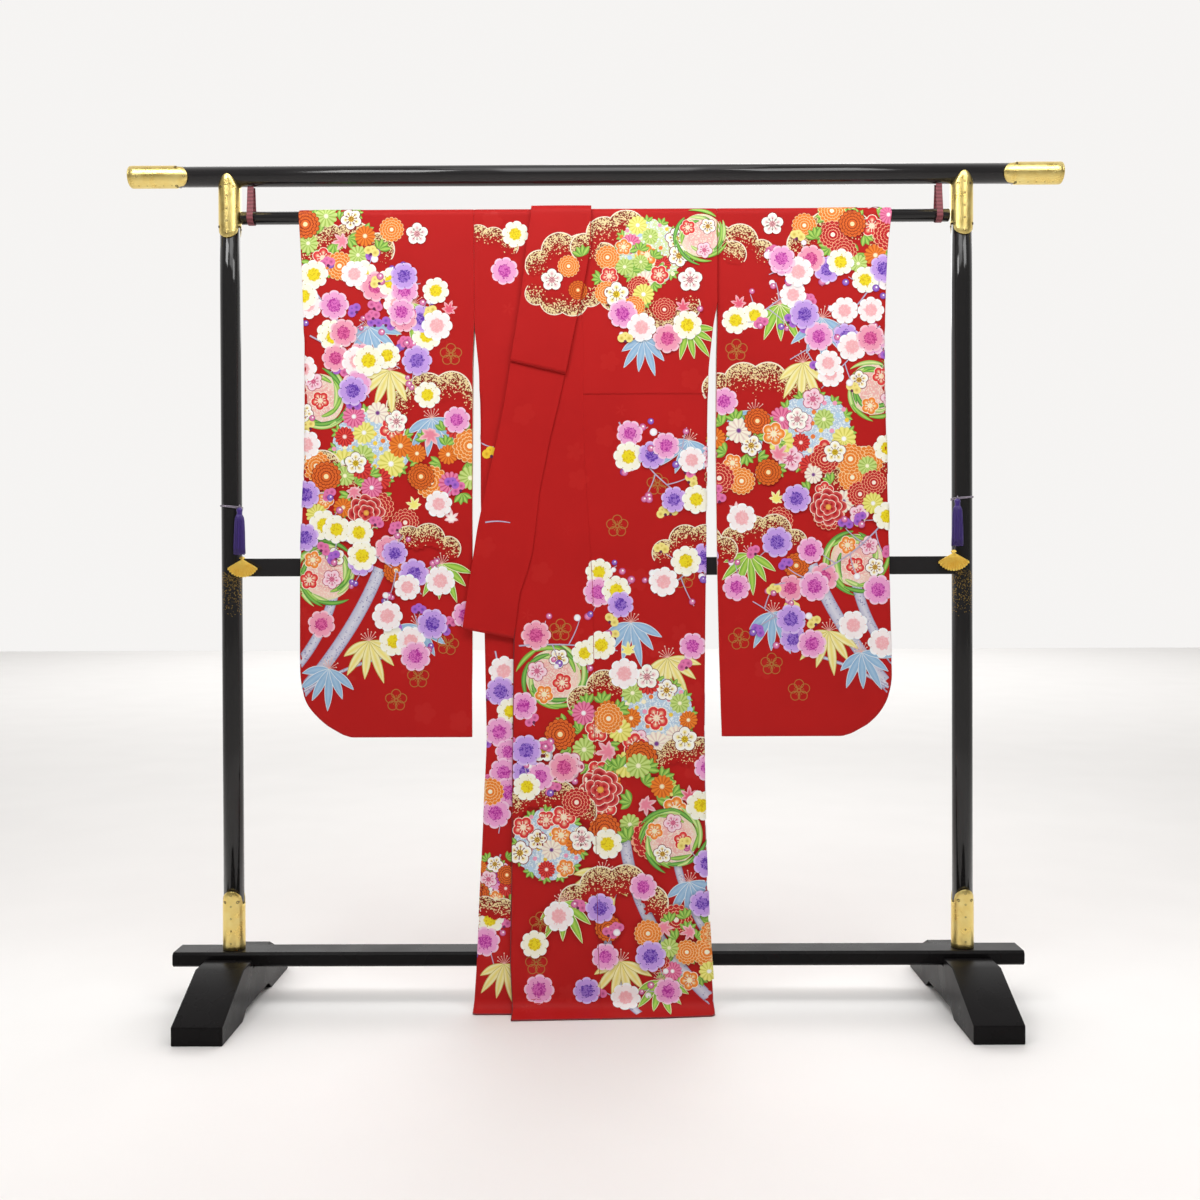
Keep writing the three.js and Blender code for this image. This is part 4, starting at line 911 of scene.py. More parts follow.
def patch(rim, rings, dyes, count=32, valleys=None, lobes=0, turn=0.0, at=(0.0, 0.0), speck=None,
          shares=None):
    """A star-shaped patch: each place is at + ring * rim(a) * (cos(a + turn), sin(a + turn)), or
    ring * rim where rim is a number. Every ring has its dye, which goes over to the valley dye by
    1 - |cos(lobes * a / 2)|^0.7 between two lobes."""
    angle = np.arange(count) * 2 * np.pi / count
    radius = (rim(angle) if callable(rim) else rim) * np.ones(count)
    start = 1 if rings[0] == 0 else 0
    ring = np.array(rings[start:], float)
    flat = np.stack([np.cos(angle + turn) * radius, np.sin(angle + turn) * radius], -1)
    xy = (ring[:, None, None] * flat[None]).reshape(-1, 2)
    colour = np.repeat(np.array([linear(d) for d in dyes[start:]])[:, None], count, 1)
    if valleys is not None:
        valley = np.array([linear(d) for d in valleys[start:]])[:, None]
        weight = (1 - np.abs(np.cos(lobes * angle / 2)) ** 0.7)[None, :, None]
        colour = colour + (valley - colour) * weight
    colour = colour.reshape(-1, 3)
    share = np.zeros(len(xy)) if shares is None else np.repeat(np.array(shares[start:], float), count)
    quads = grid_faces(len(ring), count, wrap=True)[:, ::-1]
    faces = np.zeros((0, 3), int)
    if len(ring) > 1:
        faces = np.concatenate([quads[:, [0, 1, 2]], quads[:, [0, 2, 3]]])
    if start:
        hub, j = len(xy), np.arange(count)
        xy = np.concatenate([xy, [[0.0, 0.0]]])
        colour = np.concatenate([colour, [linear(dyes[0])]])
        share = np.concatenate([share, [0.0 if shares is None else shares[0]]])
        faces = np.concatenate([faces, np.stack([np.full(count, hub), j, (j + 1) % count], -1)])
    spots = None if speck is None else linear(speck)
    inner = float(radius.min()) * 0.985 * math.cos(math.pi / count)
    covers = [(*at, inner, 0.0)] if start and inner > LEAST_COVER else None
    return Shape(xy + np.asarray(at, float), faces, colour, spots, share, covers=covers)


def ribbon(path, half_width, edge, middle, speck=None, share=0.0):
    """A strip about a path, three places across each step: the middle and half_width to either side."""
    path = np.asarray(path, float)
    tangent = np.gradient(path, axis=0)
    tangent /= np.maximum(np.linalg.norm(tangent, axis=1, keepdims=True), 1e-9)
    out = np.stack([-tangent[:, 1], tangent[:, 0]], -1) * np.broadcast_to(half_width, (len(path),))[:, None]
    xy = np.stack([path - out, path, path + out], 1).reshape(-1, 2)
    colour = np.tile(np.array([linear(edge), linear(middle), linear(edge)]), (len(path), 1))
    quads = grid_faces(len(path), 3)
    faces = np.concatenate([quads[:, [0, 1, 2]], quads[:, [0, 2, 3]]])
    return Shape(xy, faces, colour, None if speck is None else linear(speck), share)


def scalloped(radius, lobes, depth, power=0.5):
    """radius * (1 - depth + depth * |cos(lobes * a / 2)|^power)."""
    return lambda angle: radius * (1 - depth + depth * np.abs(np.cos(lobes * angle / 2)) ** power)


def spiked(radius, reaches):
    """Straight lines between tips at radius * reach and notches at 0.42 of it."""
    tips = np.linspace(0, 2 * np.pi, len(reaches), endpoint=False)
    half = tips[1] / 2
    angles = np.concatenate([tips, tips + half, [2 * np.pi]])
    notches = np.full(len(reaches), 0.42 * radius)
    values = np.concatenate([np.array(reaches) * radius, notches, [reaches[0] * radius]])
    order = np.argsort(angles)
    return lambda angle: np.interp(angle, angles[order], values[order])


def dot(radius, dye, at, count=8):
    return patch(radius, [0, 1], [dye, dye], count, at=at)


def discs(rim, rings, dyes, count, spots):
    """One patch after another at several spots, as one shape."""
    return together([patch(rim, rings, dyes, count, at=at) for at in spots])


def around(number, radius, turn=0.0):
    angle = np.arange(number) * 2 * np.pi / number + turn
    return [(radius * math.cos(a), radius * math.sin(a)) for a in angle]


PLUMS = {
    # heart, petal, rim, notch marks, speckles, their share in the heart
    "pink": ("#dd6fc0", "#f0a6d4", "#fbd3e8", "#c0489a", "#b8349a", 0.42),
    "rose": ("#e0659f", "#f2a0b8", "#fbcdd8", "#b5336f", "#c23a80", 0.40),
    "lilac": ("#9a72cf", "#c79fe8", "#dfc4f4", "#6a3fae", "#6238ac", 0.45),
    "white_pink": ("#f7b3b8", "#fdf3f3", "#ffffff", "#f3c9c0", "#fac6ca", 0.30),
    "white_yellow": ("#f1dc24", "#fdfae6", "#fffef4", "#d9d08a", "#dcb916", 0.22),
}


def plum(kind, radius=28.0):
    """A round blossom with eight scallops, a soft heart and a mark in each notch."""
    heart, petal, rim, mark, speck, share = PLUMS[kind]
    rim_of = scalloped(radius, 8, 0.14, 0.6)
    disc = patch(lambda a: rim_of(a + math.pi / 8), [0, 0.28, 0.43, 0.50, 0.64, 0.80, 0.93, 1.0],
                 [heart, heart, heart, petal, petal, petal, rim, rim], 40, turn=0.2, speck=speck,
                 shares=[share, share, share, share * 0.4, 0, 0, 0, 0])
    return layered([disc, discs(1.3, [0, 1], [mark, mark], 6, around(8, radius * 0.80, 0.2))])


def blossom(petal, line, heart, radius=17.0, petals=5):
    """Round petals with a resist line about each, a heart, and stamens with a dot at each end."""
    spots, tips = around(petals, radius * 0.56, math.pi / 2), around(petals * 2, radius * 0.52, 0.3)
    size = radius * 0.44
    stamens = [ribbon([(0.12 * x, 0.12 * y), (x, y)], 0.45, line, line) for x, y in tips]
    return layered([discs(size + 1.1, [0, 1], [line, line], 12, spots),
                    discs(size, [0, 0.55, 1], [heart, petal, petal], 12, spots),
                    patch(radius * 0.34, [0, 0.7, 1], [heart, heart, petal], 14),
                    together([*stamens, discs(1.0, [0, 1], [line, line], 6, tips)])])


def daisy(petal, deep, heart, radius=16.0, petals=14):
    """A small chrysanthemum: pointed lobes, lighter at the rim and dark between, with a pale heart."""
    return patch(scalloped(radius, petals, 0.16, 0.7), [0, 0.14, 0.26, 0.7, 1.0],
                 [heart] * 2 + [petal] * 3, petals * 4, valleys=[heart] * 2 + [deep] * 3, lobes=petals)


def scaled_chrysanthemum(petal, line, heart, radius=27.0, petals=16, rows=4):
    """Rows of rounded petals, each row one line inside the last and turned by half a petal."""
    parts = []
    for k in range(rows):
        size, turn = radius * (1 - 0.21 * k), (k % 2) * math.pi / petals
        rings = [0.58 if k + 1 < rows else 0, 1.0]
        for reach, dye in ((size, line), (size - 1.2, petal)):
            parts.append(patch(scalloped(reach, petals, 0.12), rings, [dye, dye], petals * 4, turn=turn))
    return layered(parts + [dot(radius * 0.16, heart, (0, 0), 12)])


PEONY_ROWS = [(8, 0.64, 0.34, "#b8202a"), (7, 0.42, 0.30, "#c92c30"), (5, 0.20, 0.24, "#d2383a")]


def peony(radius=44.0):
    """Three rows of broad red petals with pale resist lines about a ruffled heart."""
    parts = []
    for number, reach, size, dye in PEONY_ROWS:
        spots = around(number, radius * reach, 0.4 * number)
        rim, inner = (scalloped(radius * size - line, 3, 0.12, 1.0) for line in (0, 1.6))
        parts += [discs(rim, [0, 1], ["#fbe6d6"] * 2, 24, spots),
                  discs(inner, [0, 0.5, 1], ["#8f1018", dye, "#e0605a"], 24, spots)]
    return layered(parts + [patch(scalloped(radius * 0.15, 9, 0.3), [0, 1], ["#f0c060", "#e89a3a"], 27)])


def maple(dye, tip, radius=19.0):
    """A leaf of seven points."""
    rim = spiked(radius, [1.0, 0.92, 0.74, 0.5, 0.5, 0.74, 0.92])
    return patch(rim, [0, 0.5, 1.0], [dye, dye, tip], 28, turn=math.pi / 2)


def leaf(length, width, dark, light, bend=0.0, line=None):
    """A blade: half width = width / 2 * sin(pi t)^0.8 about a path bent sideways by bend * t^2, with a
    light vein down its middle and, where a line's dye is given, a resist line along both edges."""
    t = np.linspace(0, 1, 11)
    path = np.stack([bend * length * t**2, length * t], -1)
    half = width / 2 * np.sin(np.pi * np.clip(t, 0.02, 0.99)) ** 0.8
    if line is None:
        return ribbon(path, half, dark, light)
    inner = np.maximum(half - 1.5, half * 0.2)
    tangent = np.gradient(path, axis=0)
    tangent /= np.linalg.norm(tangent, axis=1, keepdims=True)
    out = np.stack([-tangent[:, 1], tangent[:, 0]], -1)
    offsets = np.stack([-half, -inner, -inner * 0.98, 0 * half, inner * 0.98, inner, half], -1)
    xy = (path[:, None] + out[:, None] * offsets[..., None]).reshape(-1, 2)
    colours = np.tile([linear(c) for c in (line, line, dark, light, dark, line, line)], (len(t), 1))
    quads = grid_faces(len(t), 7)
    return Shape(xy, np.concatenate([quads[:, [0, 1, 2]], quads[:, [0, 2, 3]]]), colours)


def sprig(leaves=3, length=17.0):
    """Small rounded green leaves from one point."""
    spread = np.linspace(-0.9, 0.9, leaves)
    return layered([leaf(length, length * 0.5, "#3f8f2a", "#b9dc6a").moved(turn=-a) for a in spread])


SPRAYS = {
    "green": ("#f2f0c0", "#6fb02c", "#b7d95e"),
    "cream": ("#d8c86a", "#fbf4c4", "#f2e27c"),
    "blue": ("#dbe6ee", "#8ab2d8", "#a8c8e2"),
}


def spray(kind, length=88.0, blades=6):
    """Bamboo grass: long blades that hang from one joint, each with a pale line about it, under stamens."""
    line, dye, vein = SPRAYS[kind]
    parts = []
    for k in range(blades):
        share = k / (blades - 1)
        angle = math.pi + (share - 0.5) * 2.5
        long = length * (0.74 + 0.26 * math.sin(math.pi * share)) * (1.0 if k % 2 else 0.86)
        bend = (share - 0.5) * 0.25
        parts.append(leaf(long, 17, dye, vein, bend, line).moved(turn=angle))
    tips = [(r * math.sin(a), r * math.cos(a))
            for a, r in zip(np.linspace(-1.1, 1.1, 7), (15, 20, 17, 23, 18, 21, 15))]
    threads = [ribbon([(0, 0), tip], 0.5, "#f3b9b0", "#f3b9b0") for tip in tips]
    return layered(parts + [together(threads + [discs(1.3, [0, 1], ["#f6e0d0"] * 2, 6, tips)])])


def bud(dye, deep, radius=6.5):
    light = dot(radius * 0.3, "#ffffff", (1, 1.5), 6)
    return layered([patch(radius, [0, 0.5, 1], [dye, dye, deep], 14), light])


def twin_bud(dye, deep, radius=8.0):
    """A half-open blossom seen from its side: three petals over a small dark cup."""
    petal = lambda *spots: discs(radius, [0, 0.6, 1], [deep, dye, dye], 14, spots)
    cup = patch(scalloped(radius * 0.42, 5, 0.2), [0, 1], ["#6a2a50"] * 2, 10, at=(0, -radius * 0.5))
    return layered([petal((0.0, radius * 0.75)), petal((-radius * 0.9, 2.0), (radius * 0.9, 2.0)), cup])


def twig(path, width=2.2):
    return ribbon(smooth_path(path, 9), np.linspace(width, width * 0.45, 9) / 2 + 0.35, "#a890b4", LILAC_GREY)


def trunk(path, width=17.0):
    """A pale stem with darker banks."""
    curve = smooth_path(path, 34)
    return layered([ribbon(curve, width / 2, "#9694b4", "#a9a6c8"),
                    ribbon(curve, width / 2 - 1.2, "#bcbad2", "#dcdbe6", "#9a97bd", 0.08)])


def smooth_path(path, steps):
    """Places evenly spread along a curve through three or more points (a parabola through each run)."""
    path = np.asarray(path, float)
    k, degree = np.arange(len(path)), min(2, len(path) - 1)
    fit = [np.polynomial.polynomial.Polynomial.fit(k, column, degree) for column in path.T]
    where = np.linspace(0, len(path) - 1, steps)
    return np.stack([f(where) for f in fit], -1)


def outline_plum(radius=22.0):
    """A blossom drawn in gold lines alone."""
    gold = ["#b9783c"] * 2
    spots, tips = around(5, radius * 0.56, math.pi / 2), around(10, radius * 0.42, 0.3)
    stamens = [ribbon([(0.3 * x, 0.3 * y), (x, y)], 0.4, *gold) for x, y in tips]
    return together([discs(radius * 0.44, [0.84, 1], gold, 16, spots), *stamens,
                     patch(radius * 0.16, [0.6, 1], gold, 10), discs(0.9, [0, 1], gold, 6, tips)])


def cloud(rng, width=72.0):
    """A bank of scalloped puffs under a pale line. Its gold speckles are dense along the line and thin
    out as exp(-(depth / 30)^2), depth being how far a place lies below the line."""
    number = 4
    reach = np.linspace(-1, 1, number)
    centres = np.stack([reach * width, (1 - reach**2) * width * 0.34 + rng.uniform(-5, 5, number)], -1)
    sizes = width * (0.42 + 0.12 * (1 - reach**2) + rng.uniform(-0.03, 0.03, number))
    lines = [patch(r + 2.3, [(r - 1.5) / (r + 2.3), 1], [CREAM, CREAM], 40, at=at)
             for at, r in zip(centres, sizes)]
    fills = [patch(r, np.linspace(0, 1, 6), [RED] * 6, 36, at=at, speck="#ecd8a2", shares=[0.1] * 6)
             for at, r in zip(centres, sizes)]
    bank = layered([together(lines), *fills])
    across = bank.xy[:, :1] - centres[None, :, 0]
    over = np.abs(across) < sizes
    puff = centres[None, :, 1] + np.sqrt(np.maximum(sizes[None] ** 2 - across**2, 0))
    crest = np.where(over.any(1), np.where(over, puff, -1e3).max(1), bank.xy[:, 1])
    fade = np.exp(-((np.maximum(crest - bank.xy[:, 1], 0) / 30) ** 2))
    is_fill = bank.height > STEP_UP / 2
    bank.share = np.where(is_fill, 0.62 * fade, 0)
    brown = linear(RED) + (linear("#7a2216") - linear(RED)) * fade[:, None]
    bank.dye = np.where(is_fill[:, None], brown, bank.dye)
    spent = (crest - bank.xy[:, 1] > 50) | (~is_fill & (crest - bank.xy[:, 1] > 34))
    bank.faces = bank.faces[~spent[bank.faces].all(1)]
    bank.covers = bank.covers[:0]
    return bank


FLORETS = [
    # maker, petal, the dark between petals or the line, heart, radius and, for a daisy, petals
    (daisy, "#f0862e", "#c8551a", "#fff3c8", 15), (daisy, "#e2443c", "#a81420", "#ffe9df", 15),
    (daisy, "#f08ab0", "#cf3f78", "#ffffff", 16), (daisy, "#f6ef8c", "#d6cf4a", "#ffffff", 17, 12),
    (daisy, "#fdf6e2", "#e6c9c0", "#7a3c8c", 16, 12), (blossom, "#fffdf6", "#8a2a2c", "#f7d94a", 16),
    (blossom, "#e2393c", "#fff0dc", "#f8d8b0", 16), (blossom, "#f58a35", "#fff0dc", "#fff0b0", 15),
    (blossom, "#fbdbe6", "#c04a6a", "#f08ab0", 16), (daisy, "#cfe38a", "#93b63c", "#fffbd8", 15, 12),
]
TINY = [(4.5, "#fff6d0"), (4.0, "#f7d24a"), (4.2, "#f3a0bd"), (4.2, "#f0813a"), (5.0, "#b9d6ec")]


def made(row):
    """A motif from a row that holds its maker and what the maker takes."""
    maker, *given = row
    return maker(*given)


def picked(rng, rows):
    return rows[int(rng.integers(len(rows)))]


def packed_spots(rng, radius, spacing, tries=400):
    """Random places in a disc, no two nearer than spacing."""
    spots = []
    for angle, share in rng.uniform(0, 1, (tries, 2)):
        r = radius * math.sqrt(share)
        at = (r * math.cos(2 * math.pi * angle), r * math.sin(2 * math.pi * angle))
        if all(math.dist(at, other) >= spacing for other in spots):
            spots.append(at)
    return spots


def floret_roundel(rng, radius=74.0, ground="#b9cfe4"):
    """A pale ball filled with small flowers, with leaves round its rim."""
    parts = [patch(scalloped(radius * 0.93, 17, 0.05), np.linspace(0, 1, 9), [ground] * 9, 68,
                   speck="#e9f2f6", shares=[0.35] * 8 + [0.2])]
    parts.append(together([sprig(3, 15).moved(at, math.atan2(at[1], at[0]) - math.pi / 2)
                           for at in around(13, radius * 0.84, rng.uniform(0, 6))]))
    parts.append(together([dot(*picked(rng, TINY), at, 10) for at in packed_spots(rng, radius * 0.9, 14)]))
    for at in packed_spots(rng, radius * 0.84, 33):
        flower = made(picked(rng, FLORETS))
        parts.append(flower.moved(at, rng.uniform(0, 6), rng.uniform(1.1, 1.45)))
    return parts


def swirl_roundel(rng, radius=74.0, ground="#f2b8b0"):
    """A ball of orchid blades that sweep round it over a pale ground, with a few red and white flowers."""
    parts = [patch(radius * 0.80, np.linspace(0, 1, 8), [ground] * 5 + ["#f6cfc0"] * 2 + ["#e7e3b4"], 48,
                   speck="#f9e3d6", shares=[0.3] * 7 + [0.1])]
    blades = []
    for k in range(20):
        share = k / 20
        start = share * 2 * math.pi + rng.uniform(-0.2, 0.2)
        sweep = np.linspace(0, rng.uniform(0.8, 1.35), 13)
        reach = radius * (rng.uniform(0.52, 0.94) + 0.16 * (sweep / sweep[-1]) ** 2)
        path = np.stack([reach * np.cos(start + sweep), reach * np.sin(start + sweep)], -1)
        width = 4.6 * np.sin(np.pi * np.linspace(0.06, 0.99, 13)) ** 0.7
        dark, light = (("#4f9a2c", "#b6dc6a"), ("#7cb84a", "#e4f0a4"), ("#2f7c34", "#8cc65a"))[k % 3]
        blades.append(ribbon(path, width, dark, light))
    parts += blades
    flowers = [made(FLORETS[k]).moved(at, rng.uniform(0, 6), 1.2)
               for k, at in zip((6, 8, 5, 7, 2), packed_spots(rng, radius * 0.6, 40)[:5])]
    return parts + flowers


BUNCH_DYES = [
    ("#ef8430", "#ffd9a0", "#fff6d8"), ("#c3262a", "#f6b08c", "#fff0e0"), ("#e0692a", "#8c1c14", "#ffe9b0"),
]


def bouquet(rng, radius=64.0):
    """A loose bunch: leaves, then chrysanthemums and small blossoms of many colours."""
    leaves = [sprig(4, 20).moved(at, math.atan2(at[1], at[0]) - math.pi / 2 + rng.uniform(-0.5, 0.5))
              for at in packed_spots(rng, radius, 24)]
    flowers = []
    for at in packed_spots(rng, radius, 34):
        pick = rng.uniform()
        if pick < 0.24:
            flower = scaled_chrysanthemum(*picked(rng, BUNCH_DYES), radius=23)
        elif pick < 0.34:
            flower = maple("#f08aa0", "#fbd0d4", 18)
        else:
            flower = made(picked(rng, FLORETS))
        flowers.append(flower.moved(at, rng.uniform(0, 6), rng.uniform(1.05, 1.4)))
    return leaves + flowers


# ---------------------------------------------------------------- laying out the pattern


class Cartoon:
    """A stretch of pattern on the grid of x and height: motifs in the order they are dyed."""

    def __init__(self, seed, on_back=False):
        self.rng = np.random.default_rng(seed)
        self.on_back = on_back
        self.shapes = []
        self.quiet = []  # round places that drifting blossoms leave free: x, z, radius

    def is_quiet(self, at):
        return any(math.dist(at, (x, z)) < radius for x, z, radius in self.quiet)

    def add(self, motif, x, z, turn=0.0, size=1.0):
        """Lays down a shape, or a list of shapes in their order, each moved as one."""
        for shape in motif if isinstance(motif, list) else [motif]:
            self.shapes.append(shape.moved((x, z), turn, size))

    def settle(self):
        """Gives each shape a base above all that lies in the 7 mm cells it touches, drops the triangles
        that later covers hide, and turns a back's heights into places along the cloth."""
        cell, low = 7.0, np.array([-700.0, -150.0])
        level = np.zeros((200, 270))
        settled = []
        for shape in self.shapes:
            corner = shape.xy[shape.faces]
            samples = [corner, (corner + np.roll(corner, 1, 1)) / 2, corner.mean(1, keepdims=True)]
            cells = np.floor((np.concatenate(samples, 1).reshape(-1, 2) - low) / cell).astype(int)
            i, j = np.clip(cells, 0, np.array(level.shape) - 1).T
            base = float(level[i, j].max())
            level[i, j] = base + shape.top + BETWEEN
            settled.append(shape.moved(lift=base))
        covers = np.concatenate([s.covers for s in settled])
        for shape in settled:
            drop_hidden(shape, covers)
            if self.on_back:
                shape.xy[:, 1] = ROD_Z + OVER - shape.xy[:, 1]
                shape.faces = shape.faces[:, ::-1]
        return [s for s in settled if len(s.faces)]


def drop_hidden(shape, covers):
    """Leaves out the triangles whose three corners lie inside one cover that is higher than they are."""
    low, high = shape.xy.min(0), shape.xy.max(0)
    middle, radius = covers[:, :2], covers[:, 2:3]
    near = ((middle + radius > low) & (middle - radius < high)).all(1)
    near &= covers[:, 3] > shape.height.min() + 0.01
    heights = shape.height[shape.faces].max(1)
    hidden = np.zeros(len(shape.faces), bool)
    for x, y, r, height in covers[near]:
        inside = (shape.xy[:, 0] - x) ** 2 + (shape.xy[:, 1] - y) ** 2 < r * r
        hidden |= inside[shape.faces].all(1) & (height > heights + 0.01)
    shape.faces = shape.faces[~hidden]


PLUM_MIX = ["pink", "lilac", "white_pink", "white_yellow", "rose",
            "white_yellow", "lilac", "pink", "white_pink"]


def plum_drift(art, start, end, number, spread, sizes=(25.5, 30.0)):
    """Blossoms and buds along a bent twig from start to end, set to either side of it by up to spread."""
    rng = art.rng
    start, end = np.array(start, float), np.array(end, float)
    run = end - start
    side = np.array([-run[1], run[0]]) / np.linalg.norm(run)
    bend = rng.uniform(-0.12, 0.12) * np.linalg.norm(run)
    path = [start, (start + end) / 2 + side * bend, end]
    curve = smooth_path(path, number + 2)
    art.add(twig(path, 2.6), 0, 0)
    for k, at in enumerate(curve[1:-1]):
        hand = -1 if k % 2 else 1
        off = at + side * hand * rng.uniform(0.25, 1.0) * spread
        tip = off + side * hand * rng.uniform(20, 38) + run / np.linalg.norm(run) * rng.uniform(8, 22)
        art.add(twig([at, (at + tip) / 2 + run * 0.01, tip], 1.8), 0, 0)
        small_buds(art, tip)
        kind = picked(rng, PLUM_MIX)
        size, turn = rng.uniform(*sizes), rng.uniform(0, 6)
        if not art.is_quiet(off):
            art.add(plum(kind, size), *off, turn)


BUDS = [("#ffffff", "#e9d7e4"), ("#e58ab8", "#b5407c"), ("#a070c8", "#6a3fae"), ("#e58ab8", "#b5407c")]
TWIN_BUDS = [("#f6e58a", "#d2b53a"), ("#b06ad0", "#6a3fae"), ("#e87ab0", "#b5407c")]


def small_buds(art, tip):
    rng = art.rng
    for _ in range(int(rng.integers(1, 4))):
        dye, deep = picked(rng, BUDS)
        at = np.array(tip) + rng.uniform(-11, 11, 2)
        if rng.uniform() < 0.3:
            art.add(twin_bud(*picked(rng, TWIN_BUDS)), *at, rng.uniform(-1, 1))
        else:
            art.add(bud(dye, deep, rng.uniform(5, 7.5)), *at)


def plum_field(art, box, density, spacing, tries=260, sizes=(25.5, 30.5)):
    """Fills a box with single blossoms where density(x, z) beats a random draw, none nearer than spacing."""
    rng = art.rng
    x0, z0, x1, z1 = box
    spots = []
    for a, b, c in rng.uniform(0, 1, (tries, 3)):
        at = (x0 + (x1 - x0) * a, z0 + (z1 - z0) * b)
        if c >= density(*at) or art.is_quiet(at):
            continue
        if all(math.dist(at, other) > spacing for other in spots):
            spots.append(at)
    for at in spots:
        if rng.uniform() < 0.5:
            angle = rng.uniform(0, 6.28)
            tip = np.array(at) + 44 * np.array([math.cos(angle), math.sin(angle)])
            art.add(twig([at, (np.array(at) + tip) / 2 + rng.uniform(-4, 4, 2), tip], 1.8), 0, 0)
            small_buds(art, tip)
        art.add(plum(picked(rng, PLUM_MIX), rng.uniform(*sizes)), *at, rng.uniform(0, 6))


QUIET = {"bouquet": 62, "swirl": 68, "ball_blue": 76, "ball_green": 70, "peony": 46, "blue": 26,
         "green": 26, "cream": 26, "orange": 32, "scarlet": 32, "rust": 32, "lemon": 24, "star": 28,
         "sun": 28, "outline": 30}


DRAWN = {
    # made alike each time
    "peony": (peony,), "outline": (outline_plum,), "sprig": (sprig, 4, 22),
    "green": (spray, "green"), "cream": (spray, "cream"), "blue": (spray, "blue"),
    "orange": (scaled_chrysanthemum, "#ef8430", "#ffd9a0", "#fff6d8"),
    "scarlet": (scaled_chrysanthemum, "#c3262a", "#f8bd98", "#fff0e0"),
    "rust": (scaled_chrysanthemum, "#dd6a26", "#7c1812", "#ffe9b0"),
    "lemon": (daisy, "#f4ee86", "#cfc744", "#ffffff", 21, 14),
    "maple_pink": (maple, "#e8607c", "#fbc4cc"), "maple_yellow": (maple, "#f6ec7c", "#fff8c0"),
    "maple_white": (maple, "#fff4ee", "#f7b8c0"), "star": (blossom, "#fffdf4", "#7c2024", "#f3b6bc", 24),
    "sun": (blossom, "#fffdf4", "#7c2024", "#f0d820", 24),
}
GATHERED = {
    # made with random draws
    "cloud": (cloud,), "bouquet": (bouquet,), "swirl": (swirl_roundel, 66.0), "ball_blue": (floret_roundel,),
    "ball_green": (floret_roundel, 74.0, "#d5e3a8"),
}


def draw(art, kind, x, z, size, turn=0.0):
    """One motif of a named kind, at its place and size."""
    if kind in QUIET:
        art.quiet.append((x, z, QUIET[kind] * size))
    if kind in DRAWN:
        motif = made(DRAWN[kind])
    else:
        maker, *given = GATHERED[kind]
        motif = maker(art.rng, *given)
    art.add(motif, x, z, math.radians(turn), size)


def laid_out(text):
    """Rows of a motif's kind and its numbers, from a text with a semicolon between rows."""
    return [(kind, *map(float, numbers)) for kind, *numbers in map(str.split, text.split(";"))]


# Own layouts. u runs across a sleeve, 0 at the body and 1 at its outer edge; heights are above the floor.
# kind, u, z, size, turn
SLEEVE_ART = laid_out("""
    cloud 0.74 1462 1 0; cloud 0.1 1446 0.85 0; bouquet 0.8 1490 1.05 0; orange 0.48 1500 0.9 0;
    star 0.3 1492 0.9 0; sprig 0.56 1462 1 30; green 0.36 1352 0.95 14; blue 0.62 1318 1 -12;
    maple_pink 0.14 1344 1 20; cloud 0.2 1176 1 0; swirl 0.88 1186 0.94 0; cream 0.5 1236 1 10;
    blue 0.24 1142 1 -6; ball_blue 0.56 1094 1.1 0; cloud 0.92 1010 0.95 0; bouquet 0.12 1052 1.1 0;
    orange 0.9 1050 1.1 0; rust 0.3 1020 1 0; maple_yellow 0.34 976 1 -20; bouquet 0.7 990 1 0;
    peony 0.64 958 0.86 0; scarlet 0.38 932 1 0; lemon 0.9 950 1 0; cloud 0.3 884 0.8 0;
    swirl 0.82 846 0.96 0; green 0.16 868 0.92 -8; rust 0.46 842 0.95 0; blue 0.3 742 1 10;
    cream 0.62 716 1 -6; blue 0.84 664 0.95 16; outline 0.1 1258 1 0; outline 0.14 700 1 10;
    outline 0.46 588 1 0; outline 0.3 640 1 0; maple_white 0.1 940 1 0; star 0.44 1130 0.9 0;
    sun 0.7 1050 0.9 0
""")


def dye_sleeve(art, inner, outer, shift, plain_top):
    """One face of a sleeve: the shared table moved by shift, trunks at the lower corner, then blossoms."""
    rng = art.rng
    across = lambda u: inner + (outer - inner) * u
    sign = 1 if outer > inner else -1
    for path, width in (([(1.06, 590), (0.76, 712), (0.54, 850)], 24),
                        ([(1.03, 660), (0.86, 750), (0.78, 850)], 19),
                        ([(1.00, 610), (0.74, 655), (0.50, 680)], 6)):
        art.add(trunk([(across(u), z + shift * 0.3) for u, z in path], width), 0, 0)
    for kind, u, z, size, turn in SLEEVE_ART:
        if plain_top and z > 1400 and u < 0.3:
            continue
        draw(art, kind, across(u) + rng.uniform(-10, 10), z + shift + rng.uniform(-10, 10), size, turn * sign)
    plum_drift(art, (across(1.0), 1440 + shift), (across(0.42), 1236 + shift), 7, 30)
    plum_drift(art, (across(0.16), 1300 + shift), (across(0.5), 1380 + shift), 4, 16)
    plum_drift(art, (across(0.98), 932 + shift), (across(0.30), 800 + shift), 7, 26)
    plum_drift(art, (across(0.52), 690 + shift), (across(0.20), 770 + shift), 4, 16)
    low_x, high_x = sorted((across(0.0), across(1.0)))
    density = lambda x, z: 0.7 if 690 < z < 1440 and (x - inner) / (outer - inner) > 0.34 else 0.12
    plum_drift(art, (across(0.94), 1300 + shift), (across(0.60), 1180 + shift), 4, 20)
    plum_drift(art, (across(0.72), 1420 + shift), (across(0.30), 1400 + shift), 4, 20)
    plum_field(art, (low_x, 676 + shift, high_x, 1440 + shift), density, 62, 260)


